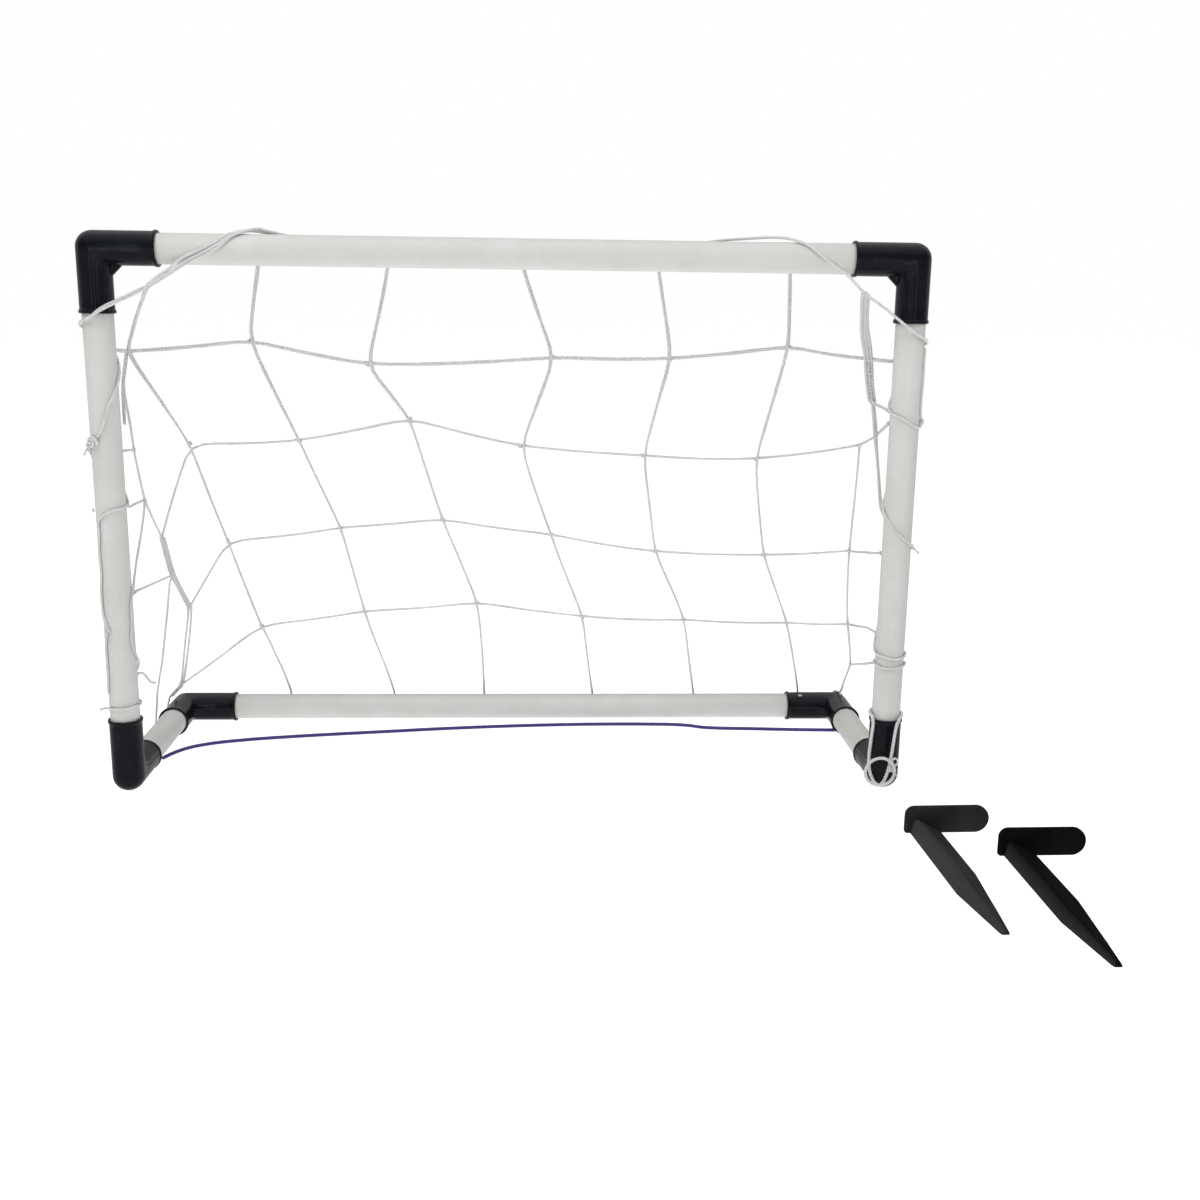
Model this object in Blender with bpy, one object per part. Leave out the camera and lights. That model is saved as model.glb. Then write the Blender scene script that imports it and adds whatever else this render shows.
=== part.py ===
"""Small push-fit goal: plastic tubes in two-way elbows, a twine net and two ground pegs.

Metres, +Z up. The goal is modelled about its own axes: x = 0 midway between the uprights,
y = 0 through their axes with the net behind (+Y), and z = 0 through the bottom tubes' axes.
One empty carries it, so that the origin of the whole set is at the middle of its base.
"""

import math

import bmesh
import bpy
from mathutils import Matrix, Vector

MM = 0.001

# Goal frame, between tube axes
GOAL_WIDTH = 575 * MM
GOAL_HEIGHT = 385 * MM
GOAL_DEPTH = 171 * MM
POST_X = GOAL_WIDTH / 2

# Tubes and elbows
SIDES = 20
TUBE_RADIUS = 10.7 * MM
TUBE_WALL = 1.2 * MM
ELBOW_RADIUS = 11.9 * MM
ELBOW_ARM = 44.5 * MM
RIM_RADIUS = 12.7 * MM
RIM_LENGTH = 2.5 * MM
SOCKET_GAP = 0.3 * MM
SOCKET_STOP = 13 * MM
PASSAGE_RADIUS = 9.6 * MM
CORNER_STEPS = 3
WEB_LEG = 7 * MM
WEB_THICKNESS = 4 * MM
WEB_BITE = 0.8 * MM
TUBE_SEAT = SOCKET_STOP + 0.5 * MM

# The elbows' rims stand on the ground on one flat facet each.
AXIS_HEIGHT = RIM_RADIUS * math.cos(math.pi / SIDES)
GOAL_CENTRE = Vector((-43.1 * MM, 48.2 * MM, AXIS_HEIGHT))

# Twine and cords
TWINE_RADIUS = 1.25 * MM
ROPE_RADIUS = 1.35 * MM
GROUND_CORD_RADIUS = 1.6 * MM
WRAP_RADIUS = 12.55 * MM
ROW_OFFSET = 3.3 * MM
ROW_OFFSET_OUTER = 5.5 * MM
KNOT_CLEARANCE = 6 * MM
KINK_REACH = 4 * MM
KINK_ANGLE = math.radians(20)
ROPE_HEIGHT = -AXIS_HEIGHT + ROPE_RADIUS + 0.1 * MM
CORD_HEIGHT = -AXIS_HEIGHT + GROUND_CORD_RADIUS + 0.1 * MM

# Ground pegs
PEG_BLADE_WIDTH = 22.3 * MM
PEG_BLADE_HEIGHT = 11 * MM
PEG_RIDGE = 0.16
PEG_WALL = 2.8 * MM
PEG_BLADE_LENGTH = 155 * MM
PEG_HEAD_LENGTH = 61 * MM
PEG_HEAD_HEIGHT = 20 * MM
PEG_HEAD_THICKNESS = 4.5 * MM
PEG_LIP = 4 * MM
PEG_BITE = 2 * MM
# Share of the blade's length, then its two edges as shares of its width and its share of the height
PEG_STATIONS = [(0, 0, 1, 1), (0.47, 0, 1, 1), (0.64, 0, 0.88, 0.92), (0.82, 0.185, 0.757, 0.7),
                (1, 0.37, 0.63, 0.42)]
PEG_PLACES = {
    "peg_left": ((284.8 * MM, -93 * MM), math.radians(1.6)),
    "peg_right": ((338.6 * MM, -133.5 * MM), math.radians(0.7)),
}

# Net knots in millimetres, left to right. Row 1 is the highest.
ROW_KNOTS = {
    1: [(-278, 30, 313), (-190, 34, 322), (-106, 40, 305), (32, 38, 312), (119, 38, 312),
        (206, 34, 322), (265, 30, 314)],
    2: [(-245, 64, 243), (-162, 63, 246), (-77, 56, 264), (7, 64, 243), (102, 67, 236),
        (190, 68, 234), (270, 60, 246)],
    3: [(-228, 100, 161), (-137, 95, 173), (-56, 91, 181), (31, 97, 168), (116, 104, 153),
        (206, 106, 150), (276, 100, 155)],
    4: [(-213, 141, 81), (-125, 134, 95), (-30, 129, 104), (59, 137, 90), (146, 138, 87),
        (235, 140, 84), (283, 120, 88)],
}
ROW_STARTS = {
    1: [(-281, 15.5, 315)],
    2: [(-278, 92, 165)],
    3: [(-268, 125, 100)],
    4: [(-285, 150, 26)],
}
ROW_ENDS = {
    1: [(280, 15.5, 313)],
    2: [(275, 36, 255), (280, 16, 268)],
    3: [(276, 42, 165), (280, 16, 170)],
    4: [(281, 50, 103), (280, 16, 108)],
}
HEAD_XS = (-178, -87, 9, 106, 201)
COLUMN_HEAD_TOP = (12.9, 387)
COLUMN_HEAD_DROP = (14.5, 375)
COLUMN_FEET = {
    1: [(-204, 161, 45), (-198, 183.5, 10), (-197, 185, -6)],
    2: [(-115, 158, 50), (-107, 183.5, 10), (-106, 185, -6)],
    3: [(-27, 183.5, 8), (-26, 185, -6)],
    4: [(70, 183.5, 8), (71, 185, -6)],
    5: [(161, 183.5, 10), (162, 185, -6)],
    6: [(255, 180, 14), (257, 186, 2), (257, 186.5, -6)],
}
RIGHT_EDGE = [(270, 60, 246), (276, 100, 155), (283, 120, 88), (289, 125, 51),
              (286, 171, 15.5), (286, 182, 11.5), (286, 187.3, 1), (286, 187.3, -6)]
SIDE_LEFT = [(-278, 30, 313), (-282, 28, 289), (-282, 45, 240), (-282, 65, 199), (-278, 92, 165),
             (-276, 108, 131), (-268, 125, 100), (-285, 150, 26), (-299, 163, 13),
             (-304, 168, 0), (-304, 169, -6)]
SIDE_RIGHT = [(250, -14.5, 361), (254, 0, 336), (266, 22, 299), (270, 28, 282), (274, 30, 254),
              (279, 22, 203), (281, 16, 196)]
EDGE_LEFT = [(-276, 108, 131), (-280, 112, 122), (-287.5, 120, 82), (-294, 126, 50),
             (-301, 132, 22), (-305, 136, -3), (-306, 137, -6)]
TIES = {
    "net_tie_left_upper": [(-279, 15.5, 138), (-281, 60, 133), (-282, 105, 119)],
    "net_tie_left_lower": [(-281, 15.5, 75), (-290, 60, 62), (-299, 110, 40), (-301, 124, 34)],
    "net_tie_right_upper": [(272, 25, 281), (279, 14.5, 277)],
    "net_tie_right_lower": [(289, 121, 52), (285, 60, 70), (281, 16, 84)],
}

# Cord routes in millimetres
HEAD_ROPE_LEFT = [(-287.5, 13.2, 327), (-296, 10.2, 328.5), (-300.8, 4, 330.5),
                  (-300.5, -4.5, 333), (-296.5, -11, 335.5), (-289, -15, 338.5),
                  (-280, -15.4, 343.5), (-268, -15, 350), (-251, -14.5, 358.3)]
HEAD_ROPE_RIGHT = [(250, -14.5, 361), (266, -15.2, 350), (280, -15.2, 340.5), (289, -14.6, 334.5),
                   (296.5, -11, 330), (300.5, -4.5, 327.5), (300.8, 4, 325.5),
                   (296, 10.2, 323.5), (287.5, 13.2, 322)]
# Place along the crossbar, degrees back from its top, distance from its axis
HEAD_WRAP_LEFT = [(-221, -128, 13.5), (-206, -101, 13.4), (-197, -72, 13.2), (-191, -42, 13.2),
                  (-184, -16, 13.8), (-175, 6, 14.6), (-164, 30, 14), (-150, 60, 13.2)]
HEAD_WRAP_RIGHT = [(235, -130, 13.5), (226, -106, 13.4), (216, -73, 13.2), (208, -40, 13.2),
                   (199, -14, 13.8), (187, 6, 14.6), (172, 30, 14), (154, 60, 13.2)]
HEAD_REAR = [(-90, 60, 13), (10, 60, 13), (110, 60, 13)]
# Degrees round an upright from its outer side by way of the front, and height
LACING = {
    "lacing_left": [(230, 312), (205, 304), (180, 297), (150, 287), (121, 277), (99, 263),
                    (75, 255), (45, 249), (15, 245), (-25, 238), (-60, 230), (-90, 223),
                    (-125, 214), (-163, 206), (-207, 204), (-250, 203), (-285, 199),
                    (-306, 194), (-304, 187), (-312, 173), (-308, 157), (-318, 143),
                    (-315, 126), (-294, 116), (-310, 105), (-311, 88), (-315, 66)],
    "lacing_right": [(270, 296), (225, 287), (180, 279), (150, 276), (121, 274), (100, 272),
                     (57, 267), (35, 267), (16, 270), (0, 271), (-30, 270), (-60, 264),
                     (-90, 256), (-110, 230), (-145, 212), (-180, 206), (-225, 196),
                     (-270, 187), (-315, 180), (-360, 177), (-405, 172), (-450, 160),
                     (-470, 130), (-505, 108), (-540, 97), (-585, 95), (-630, 93),
                     (-675, 94), (-720, 96), (-765, 93), (-810, 90), (-855, 88), (-900, 88),
                     (-945, 86), (-990, 86), (-1035, 87), (-1080, 88), (-1140, 82)],
}
BOTTOM_ROPE = [(-308, 133), (-307, 155), (-304, 175), (-292, 187.5), (-270, 190), (-200, 189),
               (-100, 189.5), (0, 189), (100, 189.5), (200, 189), (270, 190.5), (292, 189),
               (303, 178), (304, 160)]
CORNER_LOOP = [(287, 12.7, 53), (281.7, 11.4, 52.8), (277.8, 8.5, 52), (274.9, 1.9, 50),
               (273.8, -4, 46.5), (273.9, -6.4, 42), (275.1, -7.4, 36), (276.1, -7.7, 28),
               (276.3, -8.1, 18), (276.9, -8.9, 8), (278.1, -10.2, 0.5), (280, -11.2, -4.5),
               (282.9, -12.3, -6.6), (285.4, -13.2, -4.6), (287, -13.9, 0), (288.4, -14, 6),
               (289.8, -13.8, 14), (291.4, -13.3, 26), (292.9, -13, 36), (294.1, -13.7, 42),
               (295.8, -11.8, 47), (299.2, -4.8, 50), (300.2, 1.5, 51.5), (297, 9, 53),
               (290.6, 12.6, 53.4)]
CORNER_RING_CENTRE = (280.8, -18.2, 4.8)
CORNER_RING_HALF_WIDTH = 11.8
CORNER_RING_HALF_HEIGHT = 12
CORNER_RING_STEPS = 20
GROUND_CORD = [(-281, 66), (-276, 78), (-266, 92), (-249, 103), (-222, 112), (-190, 119),
               (-150, 126), (-105, 133), (-60, 140), (-10, 146), (40, 150), (85, 151.5),
               (120, 151), (142, 149.5), (155, 146.5), (165, 142), (180, 139.5), (210, 137.5),
               (245, 135), (278.2, 133.5)]

# Base colour, roughness
COLOURS = {
    "tube_plastic": ((0.72, 0.72, 0.70, 1), 0.42),
    "elbow_plastic": ((0.012, 0.013, 0.018, 1), 0.28),
    "peg_plastic": ((0.010, 0.010, 0.011, 1), 0.45),
    "net_twine": ((0.66, 0.66, 0.64, 1), 0.85),
    "blue_cord": ((0.035, 0.025, 0.16, 1), 0.6),
}


def clear_scene():
    for old in list(bpy.data.objects):
        bpy.data.objects.remove(old, do_unlink=True)


def make_materials():
    materials = {}
    for name, (colour, roughness) in COLOURS.items():
        material = bpy.data.materials.new(name)
        material.use_nodes = True
        shader = material.node_tree.nodes["Principled BSDF"]
        shader.inputs["Base Color"].default_value = colour
        shader.inputs["Roughness"].default_value = roughness
        shader.inputs["Metallic"].default_value = 0
        materials[name] = material
    return materials


def make_empty(name, place):
    empty = bpy.data.objects.new(name, None)
    empty.location = place
    bpy.context.collection.objects.link(empty)
    return empty


def add_object(name, data, material, parent):
    """Links a new object for this data, under its parent."""
    if not data.materials:
        data.materials.append(material)
    piece = bpy.data.objects.new(name, data)
    piece.parent = parent
    bpy.context.collection.objects.link(piece)
    return piece


def mesh_from(name, bm):
    mesh = bpy.data.meshes.new(name)
    bm.normal_update()
    bm.to_mesh(mesh)
    bm.free()
    mesh.shade_smooth()
    mesh.set_sharp_from_angle(angle=math.radians(35))
    return mesh


def bridge(bm, rings, closed=False):
    """Faces between each ring of points and the next, all rings of equal length."""
    loops = [[bm.verts.new(point) for point in ring] for ring in rings]
    pairs = list(zip(loops, loops[1:]))
    if closed:
        pairs.append((loops[-1], loops[0]))
    for low, high in pairs:
        count = len(low)
        for i in range(count):
            j = (i + 1) % count
            bm.faces.new((low[i], low[j], high[j], high[i]))


def circle_angles():
    """Ring angles that put a flat facet, not an edge, on each axis direction."""
    return [math.tau * (i + 0.5) / SIDES for i in range(SIDES)]


# ---------------------------------------------------------------- tubes and elbows


def tube_mesh(length):
    """A hollow tube along +Z from z = 0."""
    bm = bmesh.new()
    inner = TUBE_RADIUS - TUBE_WALL
    profile = [(TUBE_RADIUS, 0), (TUBE_RADIUS, length), (inner, length), (inner, 0)]
    rings = [[(r * math.cos(a), r * math.sin(a), z) for a in circle_angles()] for r, z in profile]
    bridge(bm, rings, closed=True)
    return mesh_from("tube", bm)


def corner_ring(radius, lean):
    """Ring round arm X of the elbow's corner, leaning back over the outer corner."""
    ring = []
    for angle in circle_angles():
        across = radius * math.cos(angle)
        side = radius * math.sin(angle)
        if across > 0:
            ring.append((across, side, across))
        else:
            ring.append((across * math.sin(lean), side, across * math.cos(lean)))
    return ring


def straight_ring(radius, along):
    return [(along, radius * math.sin(a), radius * math.cos(a)) for a in circle_angles()]


def half_elbow_rings():
    """Rings of one arm, from the mitre plane over the outside, into the socket and back."""
    leans = [math.pi / 4 * step / CORNER_STEPS for step in range(CORNER_STEPS, -1, -1)]
    bore = TUBE_RADIUS + SOCKET_GAP
    rings = [corner_ring(ELBOW_RADIUS, lean) for lean in leans]
    rings.append(straight_ring(ELBOW_RADIUS, ELBOW_ARM - RIM_LENGTH))
    rings.append(straight_ring(RIM_RADIUS, ELBOW_ARM - RIM_LENGTH))
    rings.append(straight_ring(RIM_RADIUS, ELBOW_ARM))
    rings.append(straight_ring(bore, ELBOW_ARM))
    rings.append(straight_ring(bore, SOCKET_STOP))
    rings.append(straight_ring(PASSAGE_RADIUS, SOCKET_STOP))
    rings += [corner_ring(PASSAGE_RADIUS, lean) for lean in reversed(leans)]
    return rings


def elbow_body():
    """Two-way elbow with arms along +X and +Z, a round outer corner and stepped sockets."""
    bm = bmesh.new()
    rings = half_elbow_rings()
    bridge(bm, rings)
    bridge(bm, [[(z, y, x) for x, y, z in reversed(ring)] for ring in rings])
    bmesh.ops.remove_doubles(bm, verts=bm.verts, dist=0.00001)
    bmesh.ops.recalc_face_normals(bm, faces=bm.faces)
    return mesh_from("elbow", bm)


def web_mesh():
    """The small triangular web in the elbow's inner corner."""
    bm = bmesh.new()
    low = ELBOW_RADIUS - WEB_BITE
    high = ELBOW_RADIUS + WEB_LEG + WEB_BITE
    outline = [(low, low), (high, low), (low, high)]
    half = WEB_THICKNESS / 2
    near = [bm.verts.new((x, -half, z)) for x, z in outline]
    far = [bm.verts.new((x, half, z)) for x, z in outline]
    bm.faces.new(near)
    bm.faces.new(reversed(far))
    for i in range(3):
        j = (i + 1) % 3
        bm.faces.new((near[j], near[i], far[i], far[j]))
    bmesh.ops.recalc_face_normals(bm, faces=bm.faces)
    return mesh_from("web", bm)


def elbow_mesh():
    """The elbow's body and its web as one solid."""
    body = bpy.data.objects.new("elbow_blank", elbow_body())
    web = bpy.data.objects.new("web_blank", web_mesh())
    for blank in (body, web):
        bpy.context.collection.objects.link(blank)
    joined = body.modifiers.new("web", "BOOLEAN")
    joined.operation = "UNION"
    joined.solver = "EXACT"
    joined.object = web
    graph = bpy.context.evaluated_depsgraph_get()
    mesh = bpy.data.meshes.new_from_object(body.evaluated_get(graph))
    for blank in (body, web):
        bpy.data.objects.remove(blank, do_unlink=True)
    mesh.name = "elbow"
    return mesh


def arms_turn(first, second):
    """The rotation that points arm X along first and arm Z along second."""
    x, z = Vector(first), Vector(second)
    return Matrix((x, z.cross(x), z)).transposed().to_4x4()


def add_tubes(goal, material):
    between = {
        "crossbar": ((-POST_X, 0, GOAL_HEIGHT), (POST_X, 0, GOAL_HEIGHT)),
        "left_upright": ((-POST_X, 0, 0), (-POST_X, 0, GOAL_HEIGHT)),
        "right_upright": ((POST_X, 0, 0), (POST_X, 0, GOAL_HEIGHT)),
        "left_side_tube": ((-POST_X, 0, 0), (-POST_X, GOAL_DEPTH, 0)),
        "right_side_tube": ((POST_X, 0, 0), (POST_X, GOAL_DEPTH, 0)),
        "rear_bar": ((-POST_X, GOAL_DEPTH, 0), (POST_X, GOAL_DEPTH, 0)),
    }
    for name, (start, end) in between.items():
        run = Vector(end) - Vector(start)
        along = run.normalized()
        tube = add_object(name, tube_mesh(run.length - 2 * TUBE_SEAT), material, goal)
        tube.location = Vector(start) + along * TUBE_SEAT
        tube.rotation_euler = along.to_track_quat("Z", "Y").to_euler()


def add_elbows(goal, material):
    up, down, left, right = (0, 0, 1), (0, 0, -1), (-1, 0, 0), (1, 0, 0)
    back, front = (0, 1, 0), (0, -1, 0)
    corners = {
        "top_left_elbow": ((-POST_X, 0, GOAL_HEIGHT), right, down),
        "top_right_elbow": ((POST_X, 0, GOAL_HEIGHT), left, down),
        "front_left_elbow": ((-POST_X, 0, 0), back, up),
        "front_right_elbow": ((POST_X, 0, 0), back, up),
        "rear_left_elbow": ((-POST_X, GOAL_DEPTH, 0), front, right),
        "rear_right_elbow": ((POST_X, GOAL_DEPTH, 0), front, left),
    }
    mesh = elbow_mesh()
    for name, (place, first, second) in corners.items():
        elbow = add_object(name, mesh, material, goal)
        elbow.location = place
        elbow.rotation_euler = arms_turn(first, second).to_euler()


# ---------------------------------------------------------------- net and cords


def millimetres(points):
    return [Vector(point) * MM for point in points]


def shortened(points, start=0.0, end=0.0):
    """The route with a length taken off either end, so that it clears what it is tied to."""
    route = list(points)
    route[0] += (route[1] - route[0]).normalized() * start
    route[-1] += (route[-2] - route[-1]).normalized() * end
    return route


def eased(points):
    """Each sharp kink becomes two gentler ones, a short reach before and after it."""
    route = [points[0]]
    for before, here, after in zip(points, points[1:], points[2:]):
        if (here - before).angle(after - here) < KINK_ANGLE:
            route.append(here)
            continue
        for other in (before, after):
            reach = min(KINK_REACH, (other - here).length / 3)
            route.append(here + (other - here).normalized() * reach)
    route.append(points[-1])
    return route


def smooth(points, steps):
    """A Catmull-Rom curve through the points, with this many steps to each span."""
    ends = [2 * points[0] - points[1], *points, 2 * points[-1] - points[-2]]
    route = []
    for p0, p1, p2, p3 in zip(ends, ends[1:], ends[2:], ends[3:]):
        for step in range(steps):
            t = step / steps
            bend = (2 * p0 - 5 * p1 + 4 * p2 - p3) * t + (3 * p1 - p0 - 3 * p2 + p3) * t * t
            route.append(p1 + ((p2 - p0) + bend) * t / 2)
    route.append(points[-1])
    return route


def add_cord(name, points, radius, goal, material, resolution=1, closed=False):
    """A round cord through these points."""
    curve = bpy.data.curves.new(name, "CURVE")
    curve.dimensions = "3D"
    curve.bevel_depth = radius
    curve.bevel_resolution = resolution
    curve.use_fill_caps = True
    spline = curve.splines.new("POLY")
    spline.points.add(len(points) - 1)
    spline.use_cyclic_u = closed
    for point, place in zip(spline.points, points):
        point.co = (*place, 1)
    return add_object(name, curve, material, goal)


def row_offset(column):
    """Rows pass behind the columns, and round the outside of the outer ones."""
    outward = {0: -1, 6: 1}.get(column, 0)
    offset = ROW_OFFSET_OUTER if outward else ROW_OFFSET
    return Vector((outward, 0.9, 0.4)).normalized() * offset


def add_rows(goal, material):
    for row, knots in ROW_KNOTS.items():
        middle = [p + row_offset(i) for i, p in enumerate(millimetres(knots))]
        route = millimetres(ROW_STARTS[row]) + middle + millimetres(ROW_ENDS[row])
        start = 0 if row == 1 else KNOT_CLEARANCE
        route = shortened(route, start=start)
        add_cord(f"net_row_{row}", eased(route), TWINE_RADIUS, goal, material)


def column_route(column):
    """One net column, from the head rope through its knots to the rear bar."""
    knots = [ROW_KNOTS[row][column - 1] for row in sorted(ROW_KNOTS)]
    if column == 1:
        head = [HEAD_ROPE_LEFT[-1], (-262, 5, 340)]
    else:
        x = HEAD_XS[column - 2]
        head = [(x, *COLUMN_HEAD_TOP), (x, *COLUMN_HEAD_DROP)]
    return millimetres(head + knots + COLUMN_FEET[column])


def add_columns(goal, material):
    for column in COLUMN_FEET:
        start = KNOT_CLEARANCE if column == 1 else 0
        route = shortened(column_route(column), start=start)
        add_cord(f"net_column_{column}", eased(route), TWINE_RADIUS, goal, material)


def add_net_sides(goal, material):
    strands = {
        "net_column_7": (RIGHT_EDGE, 0),
        "net_side_left": (SIDE_LEFT, KNOT_CLEARANCE),
        "net_side_right": (SIDE_RIGHT, KNOT_CLEARANCE),
        "net_edge_left": (EDGE_LEFT, KNOT_CLEARANCE),
    }
    for name, (points, start) in strands.items():
        route = shortened(millimetres(points), start=start)
        add_cord(name, eased(route), TWINE_RADIUS, goal, material)
    for name, points in TIES.items():
        add_cord(name, smooth(millimetres(points), 2), TWINE_RADIUS, goal, material)


def round_bar(x, degrees_back, radius):
    """A point round the crossbar in millimetres: the angle goes back from its top."""
    angle = math.radians(degrees_back)
    return (x, radius * math.sin(angle), GOAL_HEIGHT / MM + radius * math.cos(angle))


def add_head_rope(goal, material):
    left, rear, right = (
        [round_bar(*turn) for turn in turns]
        for turns in (HEAD_WRAP_LEFT, HEAD_REAR, HEAD_WRAP_RIGHT)
    )
    points = HEAD_ROPE_LEFT + left + rear + right[::-1] + HEAD_ROPE_RIGHT
    add_cord("head_rope", smooth(millimetres(points), 2), ROPE_RADIUS, goal, material)


def round_post(side, degrees, height):
    """A point round an upright: the angle goes from its outer side by way of the front."""
    angle = math.radians(degrees)
    x = side * (POST_X + WRAP_RADIUS * math.cos(angle))
    return Vector((x, -WRAP_RADIUS * math.sin(angle), height * MM))


def add_lacing(goal, material):
    for name, turns in LACING.items():
        side = -1 if name == "lacing_left" else 1
        path = smooth([Vector((degrees, height, 0)) for degrees, height in turns], 3)
        route = [round_post(side, point.x, point.y) for point in path]
        add_cord(name, route, ROPE_RADIUS, goal, material)


def add_corner_cords(goal, material):
    """The loop and the small ring of cord on the front right elbow."""
    loop = smooth(millimetres(CORNER_LOOP), 2)
    add_cord("corner_loop", loop, ROPE_RADIUS, goal, material)
    centre = Vector(CORNER_RING_CENTRE) * MM
    ring = []
    for step in range(CORNER_RING_STEPS):
        angle = math.tau * step / CORNER_RING_STEPS
        x = CORNER_RING_HALF_WIDTH * math.cos(angle)
        z = CORNER_RING_HALF_HEIGHT * math.sin(angle)
        ring.append(centre + Vector((x, 0, z)) * MM)
    add_cord("corner_ring", ring, ROPE_RADIUS, goal, material, closed=True)


def add_ground_cords(goal, white, blue):
    rope = [Vector((x * MM, y * MM, ROPE_HEIGHT)) for x, y in BOTTOM_ROPE]
    add_cord("bottom_rope", smooth(rope, 3), ROPE_RADIUS, goal, white)
    cord = [Vector((x * MM, y * MM, CORD_HEIGHT)) for x, y in GROUND_CORD]
    add_cord("ground_cord", smooth(cord, 4), GROUND_CORD_RADIUS, goal, blue, resolution=2)


# ---------------------------------------------------------------- pegs


def blade_section(width, height):
    """Angle section on its two edges: a steep narrow flank, a ridge and a long low flank."""
    wall = min(PEG_WALL, width * 0.3)
    ridge = width * PEG_RIDGE
    crown = width * 0.06
    return [
        (0, 0), (ridge - crown, height * 0.93), (ridge, height),
        (ridge + crown * 1.5, height * 0.96), (width, wall * 0.45), (width, 0),
        (width - wall * 1.6, 0), (ridge + wall * 0.6, height - wall * 1.5), (wall * 0.9, 0),
    ]


def cap_open_ends(bm):
    """Closes each open end with one face."""
    ends = [edge for edge in bm.edges if edge.is_boundary]
    middle = -PEG_BLADE_LENGTH / 2
    for half in ([e for e in ends if e.verts[0].co.y > middle],
                 [e for e in ends if e.verts[0].co.y < middle]):
        bmesh.ops.contextual_create(bm, geom=half)


def blade_mesh():
    """The blade along -Y from inside the head: parallel, then tapered to a blunt tip."""
    bm = bmesh.new()
    rings = []
    for share, left, right, tall in PEG_STATIONS:
        along = PEG_BITE - share * (PEG_BLADE_LENGTH + PEG_BITE)
        section = blade_section(PEG_BLADE_WIDTH * (right - left), PEG_BLADE_HEIGHT * tall)
        rings.append([(x + PEG_BLADE_WIDTH * left, along, z) for x, z in section])
    bridge(bm, rings)
    cap_open_ends(bm)
    bmesh.ops.recalc_face_normals(bm, faces=bm.faces)
    return mesh_from("peg_blade", bm)


def head_outline():
    """The head's face: a long tab, fully round at its free end and eased at the blade's."""
    radius = PEG_HEAD_HEIGHT / 2
    free = PEG_HEAD_LENGTH - PEG_LIP
    points = []
    for step in range(9):
        angle = math.radians(-90 + 22.5 * step)
        points.append((free - radius + radius * math.cos(angle), radius + radius * math.sin(angle)))
    ease = 5 * MM
    for step in range(4):
        angle = math.radians(90 + 30 * step)
        x = -PEG_LIP + ease + ease * math.cos(angle)
        points.append((x, PEG_HEAD_HEIGHT - ease + ease * math.sin(angle)))
    points.append((-PEG_LIP, 2 * MM))
    points.append((-PEG_LIP + 2 * MM, 0))
    return points


def head_mesh():
    bm = bmesh.new()
    outline = head_outline()
    front = [bm.verts.new((x, 0, z)) for x, z in outline]
    rear = [bm.verts.new((x, PEG_HEAD_THICKNESS, z)) for x, z in outline]
    bm.faces.new(front)
    bm.faces.new(reversed(rear))
    for i in range(len(outline)):
        j = (i + 1) % len(outline)
        bm.faces.new((front[j], front[i], rear[i], rear[j]))
    bmesh.ops.recalc_face_normals(bm, faces=bm.faces)
    return mesh_from("peg_head", bm)


def add_pegs(material):
    """Two equal pegs lying in front of the goal's right corner, ridge up and near the left edge."""
    for name, ((x, y), turn) in PEG_PLACES.items():
        place = Vector((x + GOAL_CENTRE.x, y + GOAL_CENTRE.y, 0))
        axis = make_empty(f"{name}_axis", place)
        axis.rotation_euler = (0, 0, turn)
        peg = add_object(name, head_mesh(), material, axis)
        blade = add_object(f"{name}_blade", blade_mesh(), material, axis)
        blade.hide_render = True
        blade.display_type = "WIRE"
        joined = peg.modifiers.new("blade", "BOOLEAN")
        joined.operation = "UNION"
        joined.solver = "EXACT"
        joined.object = blade


def main():
    clear_scene()
    materials = make_materials()
    goal = make_empty("goal_axes", GOAL_CENTRE)
    twine = materials["net_twine"]
    add_tubes(goal, materials["tube_plastic"])
    add_elbows(goal, materials["elbow_plastic"])
    add_rows(goal, twine)
    add_columns(goal, twine)
    add_net_sides(goal, twine)
    add_head_rope(goal, twine)
    add_lacing(goal, twine)
    add_corner_cords(goal, twine)
    add_ground_cords(goal, twine, materials["blue_cord"])
    add_pegs(materials["peg_plastic"])


main()
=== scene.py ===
"""Looks of the small push-fit goal: tubes, moulded elbows, a knotted twine net and two pegs.

Routes are in millimetres in the goal's own axes: x = 0 midway between the uprights, y = 0 through
their axes with the net behind (+Y), z = 0 through the bottom tubes' axes. ORIGIN puts them in the
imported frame. Every mesh keeps a "place" attribute in millimetres, which its material reads.
"""

import math
import random

import bmesh
import bpy
import numpy as np
from mathutils import Matrix, Vector


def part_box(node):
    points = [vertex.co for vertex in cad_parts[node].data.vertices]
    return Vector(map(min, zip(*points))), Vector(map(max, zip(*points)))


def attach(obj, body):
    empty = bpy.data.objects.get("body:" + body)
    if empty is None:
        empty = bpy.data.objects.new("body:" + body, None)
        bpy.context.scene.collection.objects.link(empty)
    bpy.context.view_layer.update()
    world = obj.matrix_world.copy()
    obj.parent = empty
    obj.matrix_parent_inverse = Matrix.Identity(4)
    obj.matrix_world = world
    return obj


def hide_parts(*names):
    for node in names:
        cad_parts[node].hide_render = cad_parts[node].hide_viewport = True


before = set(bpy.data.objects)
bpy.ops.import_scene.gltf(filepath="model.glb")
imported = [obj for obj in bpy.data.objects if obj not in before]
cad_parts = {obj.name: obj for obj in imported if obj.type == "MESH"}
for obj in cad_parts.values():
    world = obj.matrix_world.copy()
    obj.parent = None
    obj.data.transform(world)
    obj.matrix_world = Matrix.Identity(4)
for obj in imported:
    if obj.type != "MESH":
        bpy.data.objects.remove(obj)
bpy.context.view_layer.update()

MM = 0.001
SEED = 11

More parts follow.
